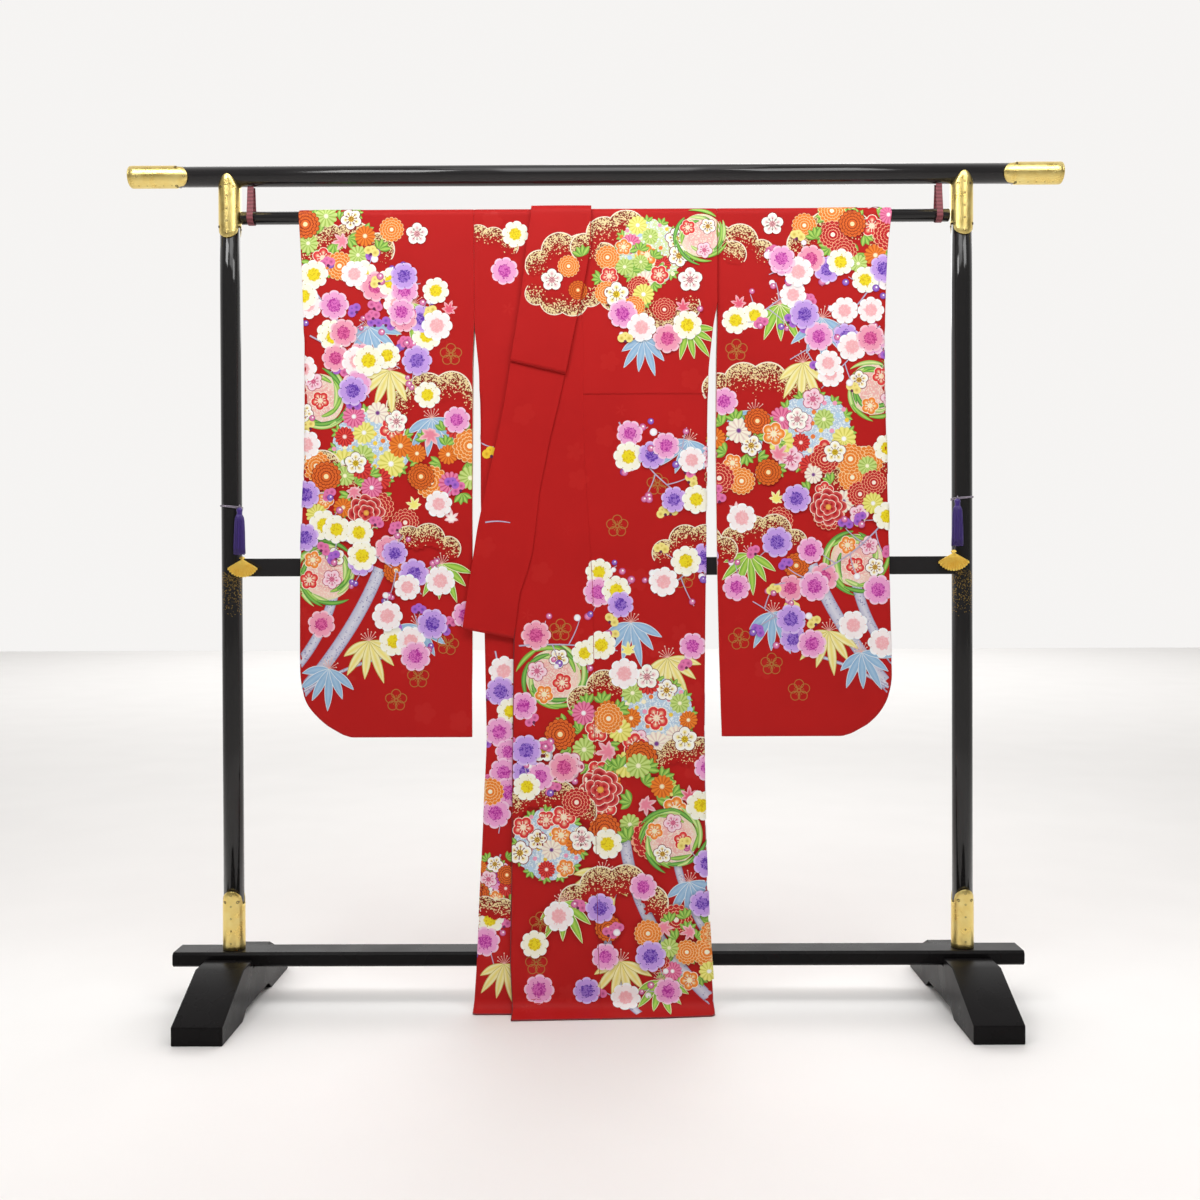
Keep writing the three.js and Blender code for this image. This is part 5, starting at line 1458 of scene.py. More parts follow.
# kind, x, z, size, turn
SKIRT_ART = laid_out("""
    cloud -46 1440 0.86 6; cloud 42 1478 0.9 10; cloud 104 1366 0.95 172; cloud -62 1378 0.72 180;
    cloud 208 1452 0.8 0; orange -52 1430 0.8 0; star -84 1404 0.9 0; rust -34 1384 0.72 0;
    sprig -24 1450 1 20; ball_green 104 1458 0.95 0; bouquet 66 1414 0.9 0; sun 40 1376 1 0;
    lemon 92 1376 1 0; orange 74 1352 0.8 0; star 182 1404 1 0; blue 92 1290 0.86 4;
    green 178 1310 0.8 24; scarlet 132 1346 0.85 0; maple_pink 168 1350 1 0; swirl 204 1490 0.8 0;
    blue 178 1094 0.92 -10; outline 118 1010 1 0; outline 40 930 1 0; outline 168 830 1 0;
    cloud 190 880 0.8 0; blue 66 744 1 0; cream 136 676 1 14; swirl -84 640 1 0; cloud 36 596 0.9 0;
    ball_blue 112 566 1.06 0; bouquet 0 520 1.15 0; cloud 176 470 0.9 0; orange 22 560 1.1 0;
    rust 84 486 1.2 0; lemon 130 430 1.1 0; bouquet 70 400 1.25 0; peony 6 424 1 0;
    maple_pink 176 410 1.2 0; cloud -96 386 0.9 0; ball_blue -92 320 1 0; swirl 142 330 0.92 0;
    scarlet -40 400 1.05 0; sprig 60 330 1.2 40; cream 10 268 1 -20; blue 176 248 0.95 10;
    cloud 30 214 1 0; green -66 210 1 12; scarlet 150 176 1.15 0; bouquet 172 120 1 0; orange 96 150 1 0;
    cream 44 96 1 0; rust 20 160 1 0; green 120 60 0.9 0; outline -110 170 1 0; outline -118 92 1 0;
    star 96 640 1 0; sun 168 520 1 0; sun -104 500 1 0; star -30 330 1 0; maple_yellow 60 690 1 0;
    outline -70 730 1 0
""")


def dye_skirt(art, shift, table_rows):
    """The shoulder and skirt of the body: the table, trunks that rise from the hem, then blossoms."""
    for path, width in (([(250, -6), (112, 150), (52, 330)], 22), ([(78, -10), (20, 120), (44, 270)], 15),
                        ([(240, 96), (176, 210), (150, 300)], 15)):
        art.add(trunk([(x, z + shift) for x, z in path], width), 0, 0)
    for kind, x, z, size, turn in table_rows:
        draw(art, kind, x, z + shift, size, turn)
    for kind, x, z, turn in (("pink", 52, 1338, 0.3), ("white_pink", 88, 1312, 0.0), ("rose", 138, 1290, 0.9),
                             ("white_yellow", 176, 1316, 0.5)):
        art.add(plum(kind, 28.5), x, z + shift, turn)
    small_buds(art, (60, 1292 + shift))
    small_buds(art, (196, 1352 + shift))
    plum_drift(art, (44, 1130 + shift), (214, 960 + shift), 7, 22)
    plum_drift(art, (206, 1040 + shift), (120, 1110 + shift), 3, 16)
    plum_drift(art, (-20, 850 + shift), (70, 770 + shift), 4, 24)
    plum_drift(art, (216, 900 + shift), (110, 800 + shift), 4, 24)
    plum_drift(art, (-150, 700 + shift), (40, 690 + shift), 5, 20)
    plum_drift(art, (-156, 440 + shift), (-40, 470 + shift), 4, 18)

    def density(x, z):
        edge = 700 if x > -60 else 660
        if z > edge:
            return 0.0
        return 0.9 if z > 230 or x > -60 else 0.1

    plum_field(art, (-160, 24, 214, 760 + shift), density, 68, 240)


UNDER_ART = laid_out("""
    bouquet -196 250 0.75 0; cream -180 90 0.9 0; cloud -200 176 0.7 0; outline -196 770 1 0;
    orange -206 420 1 0
""")


def dye_under_front(art):
    """The strip of the right front that shows beside the left, and the shoulder above the collar."""
    draw(art, "cloud", -212, 1474, 0.62, 0)
    plum_drift(art, (-196, 690), (-190, 340), 8, 14)
    plum_drift(art, (-186, 300), (-200, 90), 4, 12)
    for row in UNDER_ART:
        draw(art, *row)
    art.add(plum("pink", 27), -176, 1424)
    art.add(plum("white_yellow", 26), -155, 1495)
    art.add(twig([(-222, 1092), (-210, 1086), (-198, 1084)], 2.0), 0, 0)
    art.add(twin_bud("#f6cf3a", "#d99a1c", 9.0), -203, 1070, 0.2)


BACK_ART = laid_out("""
    cloud -110 1330 1.1 0; ball_blue -96 1340 1 0; cloud 110 1400 1 0; bouquet 120 1390 1.1 0;
    green -20 1300 1 10; swirl 100 1270 0.9 0; blue 30 1200 1 -10; outline -170 1230 1 0;
    outline 150 1130 1 0; outline -60 1050 1 0; outline 90 960 1 0
""")


def draw_cartoons():
    """All the pattern: the outer front, the under front and the back."""
    front = Cartoon(11)
    dye_sleeve(front, -238, -572, 0, True)
    dye_sleeve(front, 234, 568, 14, False)
    dye_skirt(front, 0, SKIRT_ART)
    under = Cartoon(23)
    dye_under_front(under)
    back = Cartoon(37, on_back=True)
    dye_sleeve(back, -238, -572, -12, False)
    dye_sleeve(back, 234, 568, 4, False)
    dye_skirt(back, -18, BACK_ART + [row for row in SKIRT_ART if row[2] < 800])
    collar = Cartoon(41)
    collar.add(twig([(-214, 938), (-190, 940), (-166, 937)], 2.4), 0, 0)
    return front.settle(), under.settle(), back.settle(), collar.settle()


class CollarFace:
    """The front of a collar as a stretch of the shared grid: at height s its face lies at collar_y,
    less the folds and the crown 0.4 * (1 - (2t - 1)^2) across its width."""

    def __init__(self, name, low, high, extra):
        self.name, self.span = name, [low, high]
        self.levels = np.linspace(low, high, 80)
        self.depth = np.array([collar_y(z, extra) for z in self.levels])

    def left(self, s):
        return np.interp(s, COLLAR["z"], COLLAR["left"])

    def right(self, s):
        return np.interp(s, COLLAR["z"], COLLAR["right"])

    def place(self, x, s, lift):
        t = (x - self.left(s)) / (self.right(s) - self.left(s))
        crown = 0.4 * (1 - (2 * t - 1) ** 2)
        y = np.interp(s, self.levels, self.depth) - fold_depth(x, s) - crown - lift
        return np.stack([x, y, s], -1)


def split_steep(xy, faces, data):
    """Cuts each triangle that reaches the rod's bend into four, so that it follows the bend."""
    s = xy[:, 1][faces]
    bent = ((s > ROD_Z - 6) & (s < OVER + 6)).any(1)
    if not bent.any():
        return xy, faces, data
    a, b, c = faces[bent].T
    n, k = len(xy), int(bent.sum())
    middle = [np.stack(pair) for pair in ((a, b), (b, c), (c, a))]
    xy = np.concatenate([xy] + [(xy[p] + xy[q]) / 2 for p, q in middle])
    data = np.concatenate([data] + [(data[p] + data[q]) / 2 for p, q in middle])
    ab, bc, ca = (n + np.arange(k) + k * i for i in range(3))
    quarters = [np.stack(t, -1) for t in ((a, ab, ca), (ab, b, bc), (ca, bc, c), (ab, bc, ca))]
    return xy, np.concatenate([faces[~bent]] + quarters), data


def cut_to(panel, shape):
    """The part of a shape that lies on a panel: places beyond an edge are drawn back to it, and
    triangles wholly beyond are dropped."""
    xy, faces = shape.xy, shape.faces
    low_s, high_s = panel.span[0] + 0.8, panel.span[1] - 0.8
    if xy[:, 1].max() < low_s or xy[:, 1].min() > high_s:
        return None
    data = np.column_stack([shape.dye, shape.speck, shape.share, shape.height])
    for _ in range(2):
        xy, faces, data = split_steep(xy, faces, data)
    s = np.clip(xy[:, 1], low_s, high_s)
    left, right = panel.left(s) + 0.5, panel.right(s) - 0.5
    beyond = np.stack([xy[:, 0] < left, xy[:, 0] > right, xy[:, 1] < low_s, xy[:, 1] > high_s])
    faces = faces[~beyond[:, faces].all(2).any(0)]
    if not len(faces):
        return None
    used, faces = np.unique(faces, return_inverse=True)
    x = np.clip(xy[:, 0], left, right)
    return np.stack([x, s], -1)[used], faces.reshape(-1, 3), data[used]


def set_attribute(mesh, name, kind, values):
    layer = mesh.attributes.new(name=name, type=kind, domain="POINT")
    layer.data.foreach_set("color" if kind == "FLOAT_COLOR" else "value", values.astype(np.float32).ravel())


def dye_panel(panel, cartoons):
    """All motifs on one panel as one mesh that follows the cloth's face."""
    flats, faces, data, start = [], [], [], 0
    for shapes in cartoons:
        for shape in shapes:
            cut = cut_to(panel, shape)
            if cut is None:
                continue
            flats.append(cut[0])
            faces.append(cut[1] + start)
            data.append(cut[2])
            start += len(cut[0])
    flat, faces, data = np.concatenate(flats), np.concatenate(faces), np.concatenate(data)
    corner = flat[faces]
    side, other = corner[:, 1] - corner[:, 0], corner[:, 2] - corner[:, 0]
    faces = faces[np.abs(side[:, 0] * other[:, 1] - side[:, 1] * other[:, 0]) > 0.004]
    used, faces = np.unique(faces, return_inverse=True)
    flat, faces, data = flat[used], faces.reshape(-1, 3), data[used]
    bend = smoothstep(ROD_Z - 6, ROD_Z + 4, flat[:, 1]) * (1 - smoothstep(OVER - 4, OVER + 6, flat[:, 1]))
    points = panel.place(flat[:, 0], flat[:, 1], WALL / 2 + CLEAR + data[:, 7] + 0.15 * bend)
    mesh = new_mesh("pattern_" + panel.name, points, [faces])
    set_uv(mesh, "cloth", flat * MM)
    ones = np.ones((len(data), 1))
    set_attribute(mesh, "dye", "FLOAT_COLOR", np.concatenate([data[:, :3], ones], 1))
    set_attribute(mesh, "speck_dye", "FLOAT_COLOR", np.concatenate([data[:, 3:6], ones], 1))
    set_attribute(mesh, "speck_share", "FLOAT", data[:, 6])
    keep(new_object("pattern_" + panel.name, mesh, PATTERN), "silk")


def dye_garment():
    front, under, back, on_collar = draw_cartoons()
    for name in ("sleeve_right", "sleeve_left", "body_left"):
        dye_panel(PANELS[name], (front, back))
    dye_panel(PANELS["okumi_upper"], (front,))
    dye_panel(PANELS["body_right"], (under, back))
    dye_panel(CollarFace("over_collar", 1290.0, ROD_Z - 6, LAYER), (front,))
    dye_panel(CollarFace("collar", 860.0, 1200.0, 0.0), (on_collar,))


dye_garment()

# ---------------------------------------------------------------- the stand's finishes

INK = "#201f1f"


def urushi(tree):
    # Roiro urushi, polished black lacquer: deep and wet looking, with long sharp lights and the faintest
    # waviness.
    place = add_node(tree, "TexCoord").outputs["Object"]
    wave = add_node(tree, "TexNoise", {"Vector": place, "Scale": 26.0, "Detail": 2.0})
    haze = add_node(tree, "TexNoise", {"Vector": place, "Scale": 9.0, "Detail": 4.0})
    tone = add_node(tree, "Mix", {0: haze, 6: rgba(INK), 7: rgba("#272526")}, data_type="RGBA")
    gloss = add_node(tree, "MapRange", {0: haze, 1: 0.3, 2: 0.7, 3: 0.07, 4: 0.14})
    bump = add_node(tree, "Bump", {"Height": wave, "Strength": 0.05, "Distance": 0.002})
    return {"Base Color": tone, "Roughness": gloss, "Normal": bump,
            "Specular IOR Level": 0.42}


def dusted_urushi(tree):
    # The same lacquer with maki-e: gold dust sprinkled on while wet, thick below the fans and thinning
    # downwards.
    place = add_node(tree, "TexCoord").outputs["Object"]
    height = add_node(tree, "SeparateXYZ", {0: place}).outputs["Z"]
    above = add_node(tree, "MapRange", {0: height, 1: 0.846, 2: 0.838, 3: 0.0, 4: 1.0})
    below = add_node(tree, "MapRange", {0: height, 1: 0.752, 2: 0.842, 3: 0.0, 4: 0.34})
    share = add_node(tree, "Math", {0: above, 1: below}, operation="MULTIPLY")
    dust = add_node(tree, "TexVoronoi", {"Vector": place, "Scale": 1 / 0.0016})
    chance = add_node(tree, "SeparateColor", {0: dust.outputs["Color"]})
    gold = add_node(tree, "Math", {0: share, 1: chance}, operation="GREATER_THAN")
    haze = add_node(tree, "TexNoise", {"Vector": place, "Scale": 9.0, "Detail": 4.0})
    tone = add_node(tree, "Mix", {0: gold, 6: rgba(INK), 7: rgba("#9c8046")}, data_type="RGBA")
    gloss = add_node(tree, "MapRange", {0: haze, 1: 0.3, 2: 0.7, 3: 0.07, 4: 0.14})
    rough = add_node(tree, "Math", {0: gold, 1: 0.28, 2: gloss}, operation="MULTIPLY_ADD")
    metal = add_node(tree, "Math", {0: gold, 1: 0.9}, operation="MULTIPLY")
    return {"Base Color": tone, "Metallic": metal, "Roughness": rough,
            "Specular IOR Level": 0.42}


def satin_lacquer(tree):
    # Plainer black lacquer rubbed to a soft sheen, on the feet and the beam between them.
    place = add_node(tree, "TexCoord").outputs["Object"]
    haze = add_node(tree, "TexNoise", {"Vector": place, "Scale": 14.0, "Detail": 4.0})
    tone = add_node(tree, "Mix", {0: haze, 6: rgba("#131212"), 7: rgba("#1a1819")}, data_type="RGBA")
    gloss = add_node(tree, "MapRange", {0: haze, 1: 0.3, 2: 0.7, 3: 0.22, 4: 0.34})
    return {"Base Color": tone, "Roughness": gloss, "Specular IOR Level": 0.07}


def gilt_foil(tree):
    # Gold foil on stiff paper: a warm clear yellow, brighter and less of a mirror than the brass.
    place = add_node(tree, "TexCoord").outputs["Object"]
    worn = add_node(tree, "TexNoise", {"Vector": place, "Scale": 120.0, "Detail": 3.0})
    tone = add_node(tree, "Mix", {0: worn, 6: rgba("#f2bc30"), 7: rgba("#ffe676")}, data_type="RGBA")
    return {"Base Color": tone, "Metallic": 0.35, "Roughness": 0.38}


def gilt_brass(tree):
    # Gilt brass sheet, punched with a fine nanako ground: satin yellow gold, a little darker in its hollows.
    place = add_node(tree, "TexCoord").outputs["Object"]
    punch = add_node(tree, "TexVoronoi", {"Vector": place, "Scale": 1 / 0.0022})
    worn = add_node(tree, "TexNoise", {"Vector": place, "Scale": 45.0, "Detail": 4.0})
    tone = add_node(tree, "Mix", {0: worn, 6: rgba("#e6bf5c"), 7: rgba("#fff0a6")}, data_type="RGBA")
    gloss = add_node(tree, "MapRange", {0: worn, 1: 0.3, 2: 0.7, 3: 0.24, 4: 0.40})
    bump = add_node(tree, "Bump", {"Height": punch.outputs["Distance"], "Strength": 0.25, "Distance": 0.0008})
    return {"Base Color": tone, "Metallic": 1.0, "Roughness": gloss, "Normal": bump}


def engraved_line(tree):
    # Engraved grooves filled with dark patina.
    place = add_node(tree, "TexCoord").outputs["Object"]
    grime = add_node(tree, "TexNoise", {"Vector": place, "Scale": 300.0, "Detail": 2.0})
    tone = add_node(tree, "Mix", {0: grime, 6: rgba("#20180c"), 7: rgba("#5a431a")}, data_type="RGBA")
    return {"Base Color": tone, "Roughness": 0.6}


def ribbon_weave(tree):
    # Grosgrain ribbon, maroon rayon: crosswise ribs every 1.2 mm and a dull gleam, the colour painted lighter
    # on each rib's crest and darker in its furrow, a painted sheen and shade.
    place = add_node(tree, "UVMap", uv_map="cloth").outputs["UV"]
    ribs = add_node(tree, "TexWave", {"Vector": place, "Scale": 42.0}, bands_direction="Y")
    # Painted sheen and shade: lighter maroon on the rib crests, darker in the furrows.
    tone = add_node(tree, "Mix", {0: ribs.outputs[1], 6: rgba("#6e2a33"), 7: rgba("#8f444c")},
                    data_type="RGBA")
    bump = add_node(tree, "Bump", {"Height": ribs.outputs[1], "Strength": 0.3, "Distance": 0.0004})
    return {"Base Color": tone, "Roughness": 0.6, "Normal": bump, "Sheen Weight": 0.2}


def twisted_silk(tree):
    # Twisted silk thread, violet, with fine slanting plies: painted brighter where the plies stand up and
    # darker where they sink, a painted sheen and shade.
    place = add_node(tree, "TexCoord").outputs["Object"]
    ply_relief_and_sheen = add_node(tree, "TexNoise", {"Vector": place, "Scale": 700.0, "Detail": 2.0})
    # Painted sheen and shade: lighter violet where the bump rises, darker where it sinks.
    tone = add_node(tree, "Mix", {0: ply_relief_and_sheen, 6: rgba("#28125c"), 7: rgba("#48288e")}, data_type="RGBA")
    bump = add_node(tree, "Bump", {"Height": ply_relief_and_sheen, "Strength": 0.2, "Distance": 0.0004})
    return {"Base Color": tone, "Roughness": 0.42, "Normal": bump, "Sheen Weight": 0.2}


def plaited_cord(tree):
    # Plaited rayon cord, grey lilac: small crossing plies, painted darker towards the hollows between them, a
    # painted shade.
    place = add_node(tree, "TexCoord").outputs["Object"]
    plait_relief_and_shade = add_node(tree, "TexVoronoi", {"Vector": place, "Scale": 1 / 0.0013}).outputs["Distance"]
    # Painted shade: light lilac on each raised ply, darker grey towards its sunken edge.
    tone = add_node(tree, "Mix", {0: plait_relief_and_shade, 6: rgba("#a9a0ac"), 7: rgba("#756b7c")}, data_type="RGBA")
    bump = add_node(tree, "Bump", {"Height": plait_relief_and_shade, "Strength": 0.4, "Distance": 0.0005}, invert=True)
    return {"Base Color": tone, "Roughness": 0.55, "Normal": bump}


URUSHI = new_material("black urushi lacquer", urushi)
DUSTED = new_material("black urushi with sprinkled gold", dusted_urushi)
SATIN = new_material("satin black lacquer", satin_lacquer)
FOIL = new_material("gold foil", gilt_foil)
GILT = new_material("gilt brass", gilt_brass)
ENGRAVED = new_material("engraved brass, darkened", engraved_line)
RIBBON_CLOTH = new_material("grosgrain ribbon", ribbon_weave)
SILK_THREAD = new_material("twisted silk thread", twisted_silk)
CORD_PLAIT = new_material("plaited cord", plaited_cord)

# ---------------------------------------------------------------- the stand

BEAM_Z, BEAM_RADIUS, BEAM_HALF = 1613.0, 19.5, 898.0
CAP_RADIUS, CAP_LENGTH, CAP_SPAN, CAP_LOBE = 21.3, 118.0, 905.0, 27.0
CAP_TURN = 0.24  # each cap sits turned on the beam, its lobe a little down
POST_X, POST_RADIUS, POST_BOTTOM = 711.0, 19.5, 109.3
SLEEVE_RADIUS, SLEEVE_BOTTOM, SLEEVE_LOBE, SLEEVE_TOP, SLEEVE_SHOULDER = 21.4, 1490.0, 27.0, 1613.0, 1594.0
FOOT_SLEEVE_SHOULDER, FOOT_SLEEVE_TIP = 197.0, 225.0
ROUND = 72


def cusped(angle):
    """A lobed edge: with v = |cos a|, a round lobe 0.85 * (0.95 - sqrt(0.95^2 - v^2)) to the front and
    the back, 0 at its tip, that steps out to 1 in a notch from v = 0.84 to 0.93."""
    v = np.abs(np.cos(angle))
    lobe = 0.85 * (0.95 - np.sqrt(np.maximum(0.95**2 - v**2, 0)))
    step = smoothstep(0.84, 0.93, v)
    return lobe + (1 - lobe) * step


def fitted_tube(inner, outer, low, high, axis="z"):
    """A closed tube round an axis, its ends cut along low(a) and high(a): each ring of points lies at
    low + (high - low) * t, with the outer edges rounded by 0.5 mm."""
    angle = np.arange(ROUND) * 2 * np.pi / ROUND
    start, end = low(angle) * np.ones(ROUND), high(angle) * np.ones(ROUND)
    edge = 0.5
    shares = np.linspace(0, 1, 13)
    rows = [(inner, start), (outer - edge, start), (outer, start + edge)]
    rows += [(outer, start + edge + (end - start - 2 * edge) * t) for t in shares[1:-1]]
    rows += [(outer, end - edge), (outer - edge, end), (inner, end)]
    grid = []
    for radius, place in rows:
        first, second = radius * np.cos(angle), radius * np.sin(angle)
        grid.append(np.stack([place, first, second] if axis == "x" else [first, second, place], -1))
    grid = np.array(grid)
    faces = grid_faces(len(grid) + 1, ROUND, wrap=True) % (len(grid) * ROUND)
    return grid.reshape(-1, 3), [faces]


def dome(at, radius, out, sides=12, rise_share=0.6):
    """A round nail head: rings at radius * cos b, standing radius * rise_share * sin b proud along out."""
    out = np.asarray(out, float) / np.linalg.norm(out)
    side = np.cross(out, (0, 0, 1) if abs(out[2]) < 0.9 else (0, 1, 0))
    side /= np.linalg.norm(side)
    rise = np.cross(out, side)
    a = np.arange(sides) * 2 * np.pi / sides
    rings = [(radius, -0.3)]
    rings += [(radius * math.cos(b), radius * rise_share * math.sin(b)) for b in (0.0, 0.5, 1.0)]
    round_way = np.cos(a)[:, None] * side + np.sin(a)[:, None] * rise
    points = [np.asarray(at, float) + r * round_way + h * out for r, h in rings]
    ring = np.arange(sides)
    faces = [grid_faces(4, sides, wrap=True), ring[None, :] + 3 * sides, ring[None, ::-1]]
    return np.concatenate(points), faces


def on_tube(centre, radius, angle, place, axis):
    """A place on a tube's face, and the direction out of it."""
    c, s = math.cos(angle), math.sin(angle)
    out = np.array([0, c, s] if axis == "x" else [c, s, 0])
    at = np.array(centre, float) + radius * out
    at[0 if axis == "x" else 2] = place
    return at, out


def curl(centre, radius, angle, place, size, hand, axis):
    """An engraved curl on a tube: a spiral of one and a quarter turns, its radius size * (1 - 0.7 t)."""
    t = np.linspace(0, 1, 18)
    turn = 2.5 * np.pi * t
    reach = size * (1 - 0.7 * t)
    across = angle + hand * reach * np.cos(turn) / radius
    path = [on_tube(centre, radius + 0.05, a, p, axis)[0]
            for a, p in zip(across, place + reach * np.sin(turn))]
    out = on_tube(centre, radius, angle, place, axis)[1]
    return pipe(np.array(path), 0.45 + 0.25 * (1 - t), 6, up=out)


def shift_points(part, offset):
    return part[0] + np.asarray(offset, float), part[1]


def lay_piece(name, parts, slot, nodes, *materials, smooth=True):
    """Joins parts, each (points, faces) with its material's number, into one piece that replaces nodes."""
    points, faces = joined([part for part, _ in parts])
    mesh = new_mesh(name, points, faces, smooth)
    numbers = np.concatenate([np.full(sum(len(f) for f in part[1]), number) for part, number in parts])
    piece = new_object(name, mesh, *materials)
    if numbers.any():
        mesh.polygons.foreach_set("material_index", numbers.astype(np.int32))
    return keep(piece, slot, *nodes)


def soft_edges(piece, width, angle=35.0):
    """Rounds a piece's sharp edges by width millimetres."""
    bevel = piece.modifiers.new("edges", "BEVEL")
    bevel.width = width * MM
    bevel.segments = 3
    bevel.limit_method = "ANGLE"
    bevel.angle_limit = math.radians(angle)
    bevel.harden_normals = True


ROD_LEFT, ROD_RIGHT = -689.0, 686.0


def make_beam():
    edge = 1.0
    profile = [(-BEAM_HALF, BEAM_RADIUS - edge), (-BEAM_HALF + edge, BEAM_RADIUS), (0, BEAM_RADIUS),
               (BEAM_HALF - edge, BEAM_RADIUS), (BEAM_HALF, BEAM_RADIUS - edge)]
    beam = turned(profile, ROUND, "x", (0, 0, BEAM_Z))
    lay_piece("beam_lacquer", [(beam, 0)], "lacquer", ["top_beam"], URUSHI)
    profile = [(ROD_LEFT, ROD_RADIUS - 2), (ROD_LEFT + 1.5, ROD_RADIUS), (0, ROD_RADIUS),
               (ROD_RIGHT - 1.5, ROD_RADIUS), (ROD_RIGHT, ROD_RADIUS - 2)]
    rod = turned(profile, ROUND, "x", (0, 0, ROD_Z))
    lay_piece("rod_lacquer", [(rod, 0)], "lacquer", ["rod"], URUSHI)


def chased(tube, centre, radius, axis, nails, curls):
    """A gilt tube with nail heads, each over the dark ring that collects about it, and engraved curls.
    nails are rows of angle, place and size; curls are rows of angle, place, size and hand."""
    parts = [(tube, 0)]
    for angle, place, size in nails:
        at, out = on_tube(centre, radius, angle, place, axis)
        parts += [(dome(at, size * 1.45, out, 14, 0.12), 1), (dome(at, size, out), 0)]
    return parts + [(curl(centre, radius, *row, axis), 1) for row in curls]


def make_cap(side, sign):
    """A gilt cup on the beam's end: a tube with a lobed inner edge, a rounded end, nails and curls."""
    inner_end = sign * (CAP_SPAN - CAP_LENGTH)
    centre = (0, 0, BEAM_Z)
    shoulder = sign * (CAP_SPAN - 4.0)
    edges = [lambda a: inner_end + sign * CAP_LOBE * np.clip(cusped(a + np.pi / 2 - CAP_TURN), 0, 1),
             lambda a: shoulder + 0 * a]
    tube = shift_points(fitted_tube(BEAM_RADIUS + 0.15, CAP_RADIUS, *edges[::sign], "x"), centre)
    end = [(shoulder - sign * 1.5, CAP_RADIUS - 0.6), (shoulder, CAP_RADIUS - 0.2)]
    end += [(shoulder + sign * 4.0 * math.sin(b), CAP_RADIUS - 0.2 - 5.0 * (1 - math.cos(b)))
            for b in np.linspace(0, np.pi / 2, 7)[1:]]
    front = CAP_TURN - math.pi
    nails = [(front, 7.0, 1.5)] + [(front + 0.95, 34 + 16 * k, 0.9) for k in range(5)] + [(front, 98, 1.3)]
    nails = [(angle, inner_end + sign * place, size) for angle, place, size in nails]
    curls = [(middle + hand * 0.98, inner_end + sign * 25.0, 3.4, hand) for hand in (-1, 1)
             for middle in (front, CAP_TURN)]
    parts = chased(tube, centre, CAP_RADIUS, "x", nails, curls)
    parts.insert(1, (turned(end[::sign], ROUND, "x", centre), 0))
    lay_piece(f"cap_{side}_gilt", parts, "gold_fittings", [f"beam_cap_{side}"], GILT, ENGRAVED)


def make_post(side, x):
    """A lacquered post and its gilt sleeves, the upper cut to a saddle under the beam."""
    profile = [(z, POST_RADIUS) for z in (POST_BOTTOM, 500, 1000, 1400, 1592.6)]
    post = turned(profile, ROUND, "z", (x, 0, 0))
    lay_piece(f"post_{side}_lacquer", [(post, 0)], "lacquer", [f"post_{side}"], DUSTED)
    centre, front = (x, 0, 0), -math.pi / 2
    for name, bottom, top, nails, curls in (
        ("upper_sleeve", lambda a: SLEEVE_BOTTOM + SLEEVE_LOBE * np.clip(cusped(a), 0, 1),
         lambda a: SLEEVE_SHOULDER + (SLEEVE_TOP - SLEEVE_SHOULDER) * np.abs(np.sin(a)) ** 3,
         ((1498, 1.6), (1522, 1.3), (1546, 1.3), (1570, 1.3), (1592, 1.5)),
         ((0.98, 1512.0, 3.4), (0.58, 1588.0, 2.6))),
        ("lower_sleeve", lambda a: POST_BOTTOM + 0 * a,
         lambda a: FOOT_SLEEVE_TIP - (FOOT_SLEEVE_TIP - FOOT_SLEEVE_SHOULDER) * np.clip(cusped(a), 0, 1),
         ((217, 1.5), (196, 1.2), (172, 1.2), (148, 1.2), (124, 1.2)), ((0.62, 203.0, 3.2),)),
    ):
        tube = shift_points(fitted_tube(POST_RADIUS + 0.15, SLEEVE_RADIUS, bottom, top), centre)
        rows = [(middle + hand * off, height, size, hand) for middle in (front, -front) for hand in (-1, 1)
                for off, height, size in curls]
        parts = chased(tube, centre, SLEEVE_RADIUS, "z", [(front, *row) for row in nails], rows)
        lay_piece(f"{name}_{side}_gilt", parts, "gold_fittings", [f"{name}_{side}"], GILT, ENGRAVED)


FOOT = [(-222, 0), (-100, 0), (-76, 16), (76, 16), (100, 0), (222, 0), (222, 34), (90, 96),
        (31.3, 96), (31.3, 80.7), (-31.3, 80.7), (-31.3, 96), (-90, 96), (-222, 34)]
FOOT_HALF = 46.0  # half a foot's width
BASE_BEAM = [(-31, 86), (-26, 81), (26, 81), (31, 86), (31, 104), (26, 109), (-26, 109), (-31, 104)]
MID_RAIL = [(-9, 835.5), (9, 835.5), (9, 870.5), (-9, 870.5)]


def make_base(side, x):
    foot = prism(FOOT, x - FOOT_HALF, x + FOOT_HALF, "x")
    soft_edges(lay_piece(f"foot_{side}_lacquer", [(foot, 0)], "lacquer", [f"foot_{side}"], SATIN), 2.0)


def make_rails():
    base = prism(BASE_BEAM, -822, 822, "x")
    soft_edges(lay_piece("base_beam_lacquer", [(base, 0)], "lacquer", ["base_beam"], SATIN), 1.2)
    inside = POST_X - 17.0
    rail = prism(MID_RAIL, -inside, inside, "x")
    soft_edges(lay_piece("mid_rail_lacquer", [(rail, 0)], "lacquer", ["mid_rail"], URUSHI), 1.5)


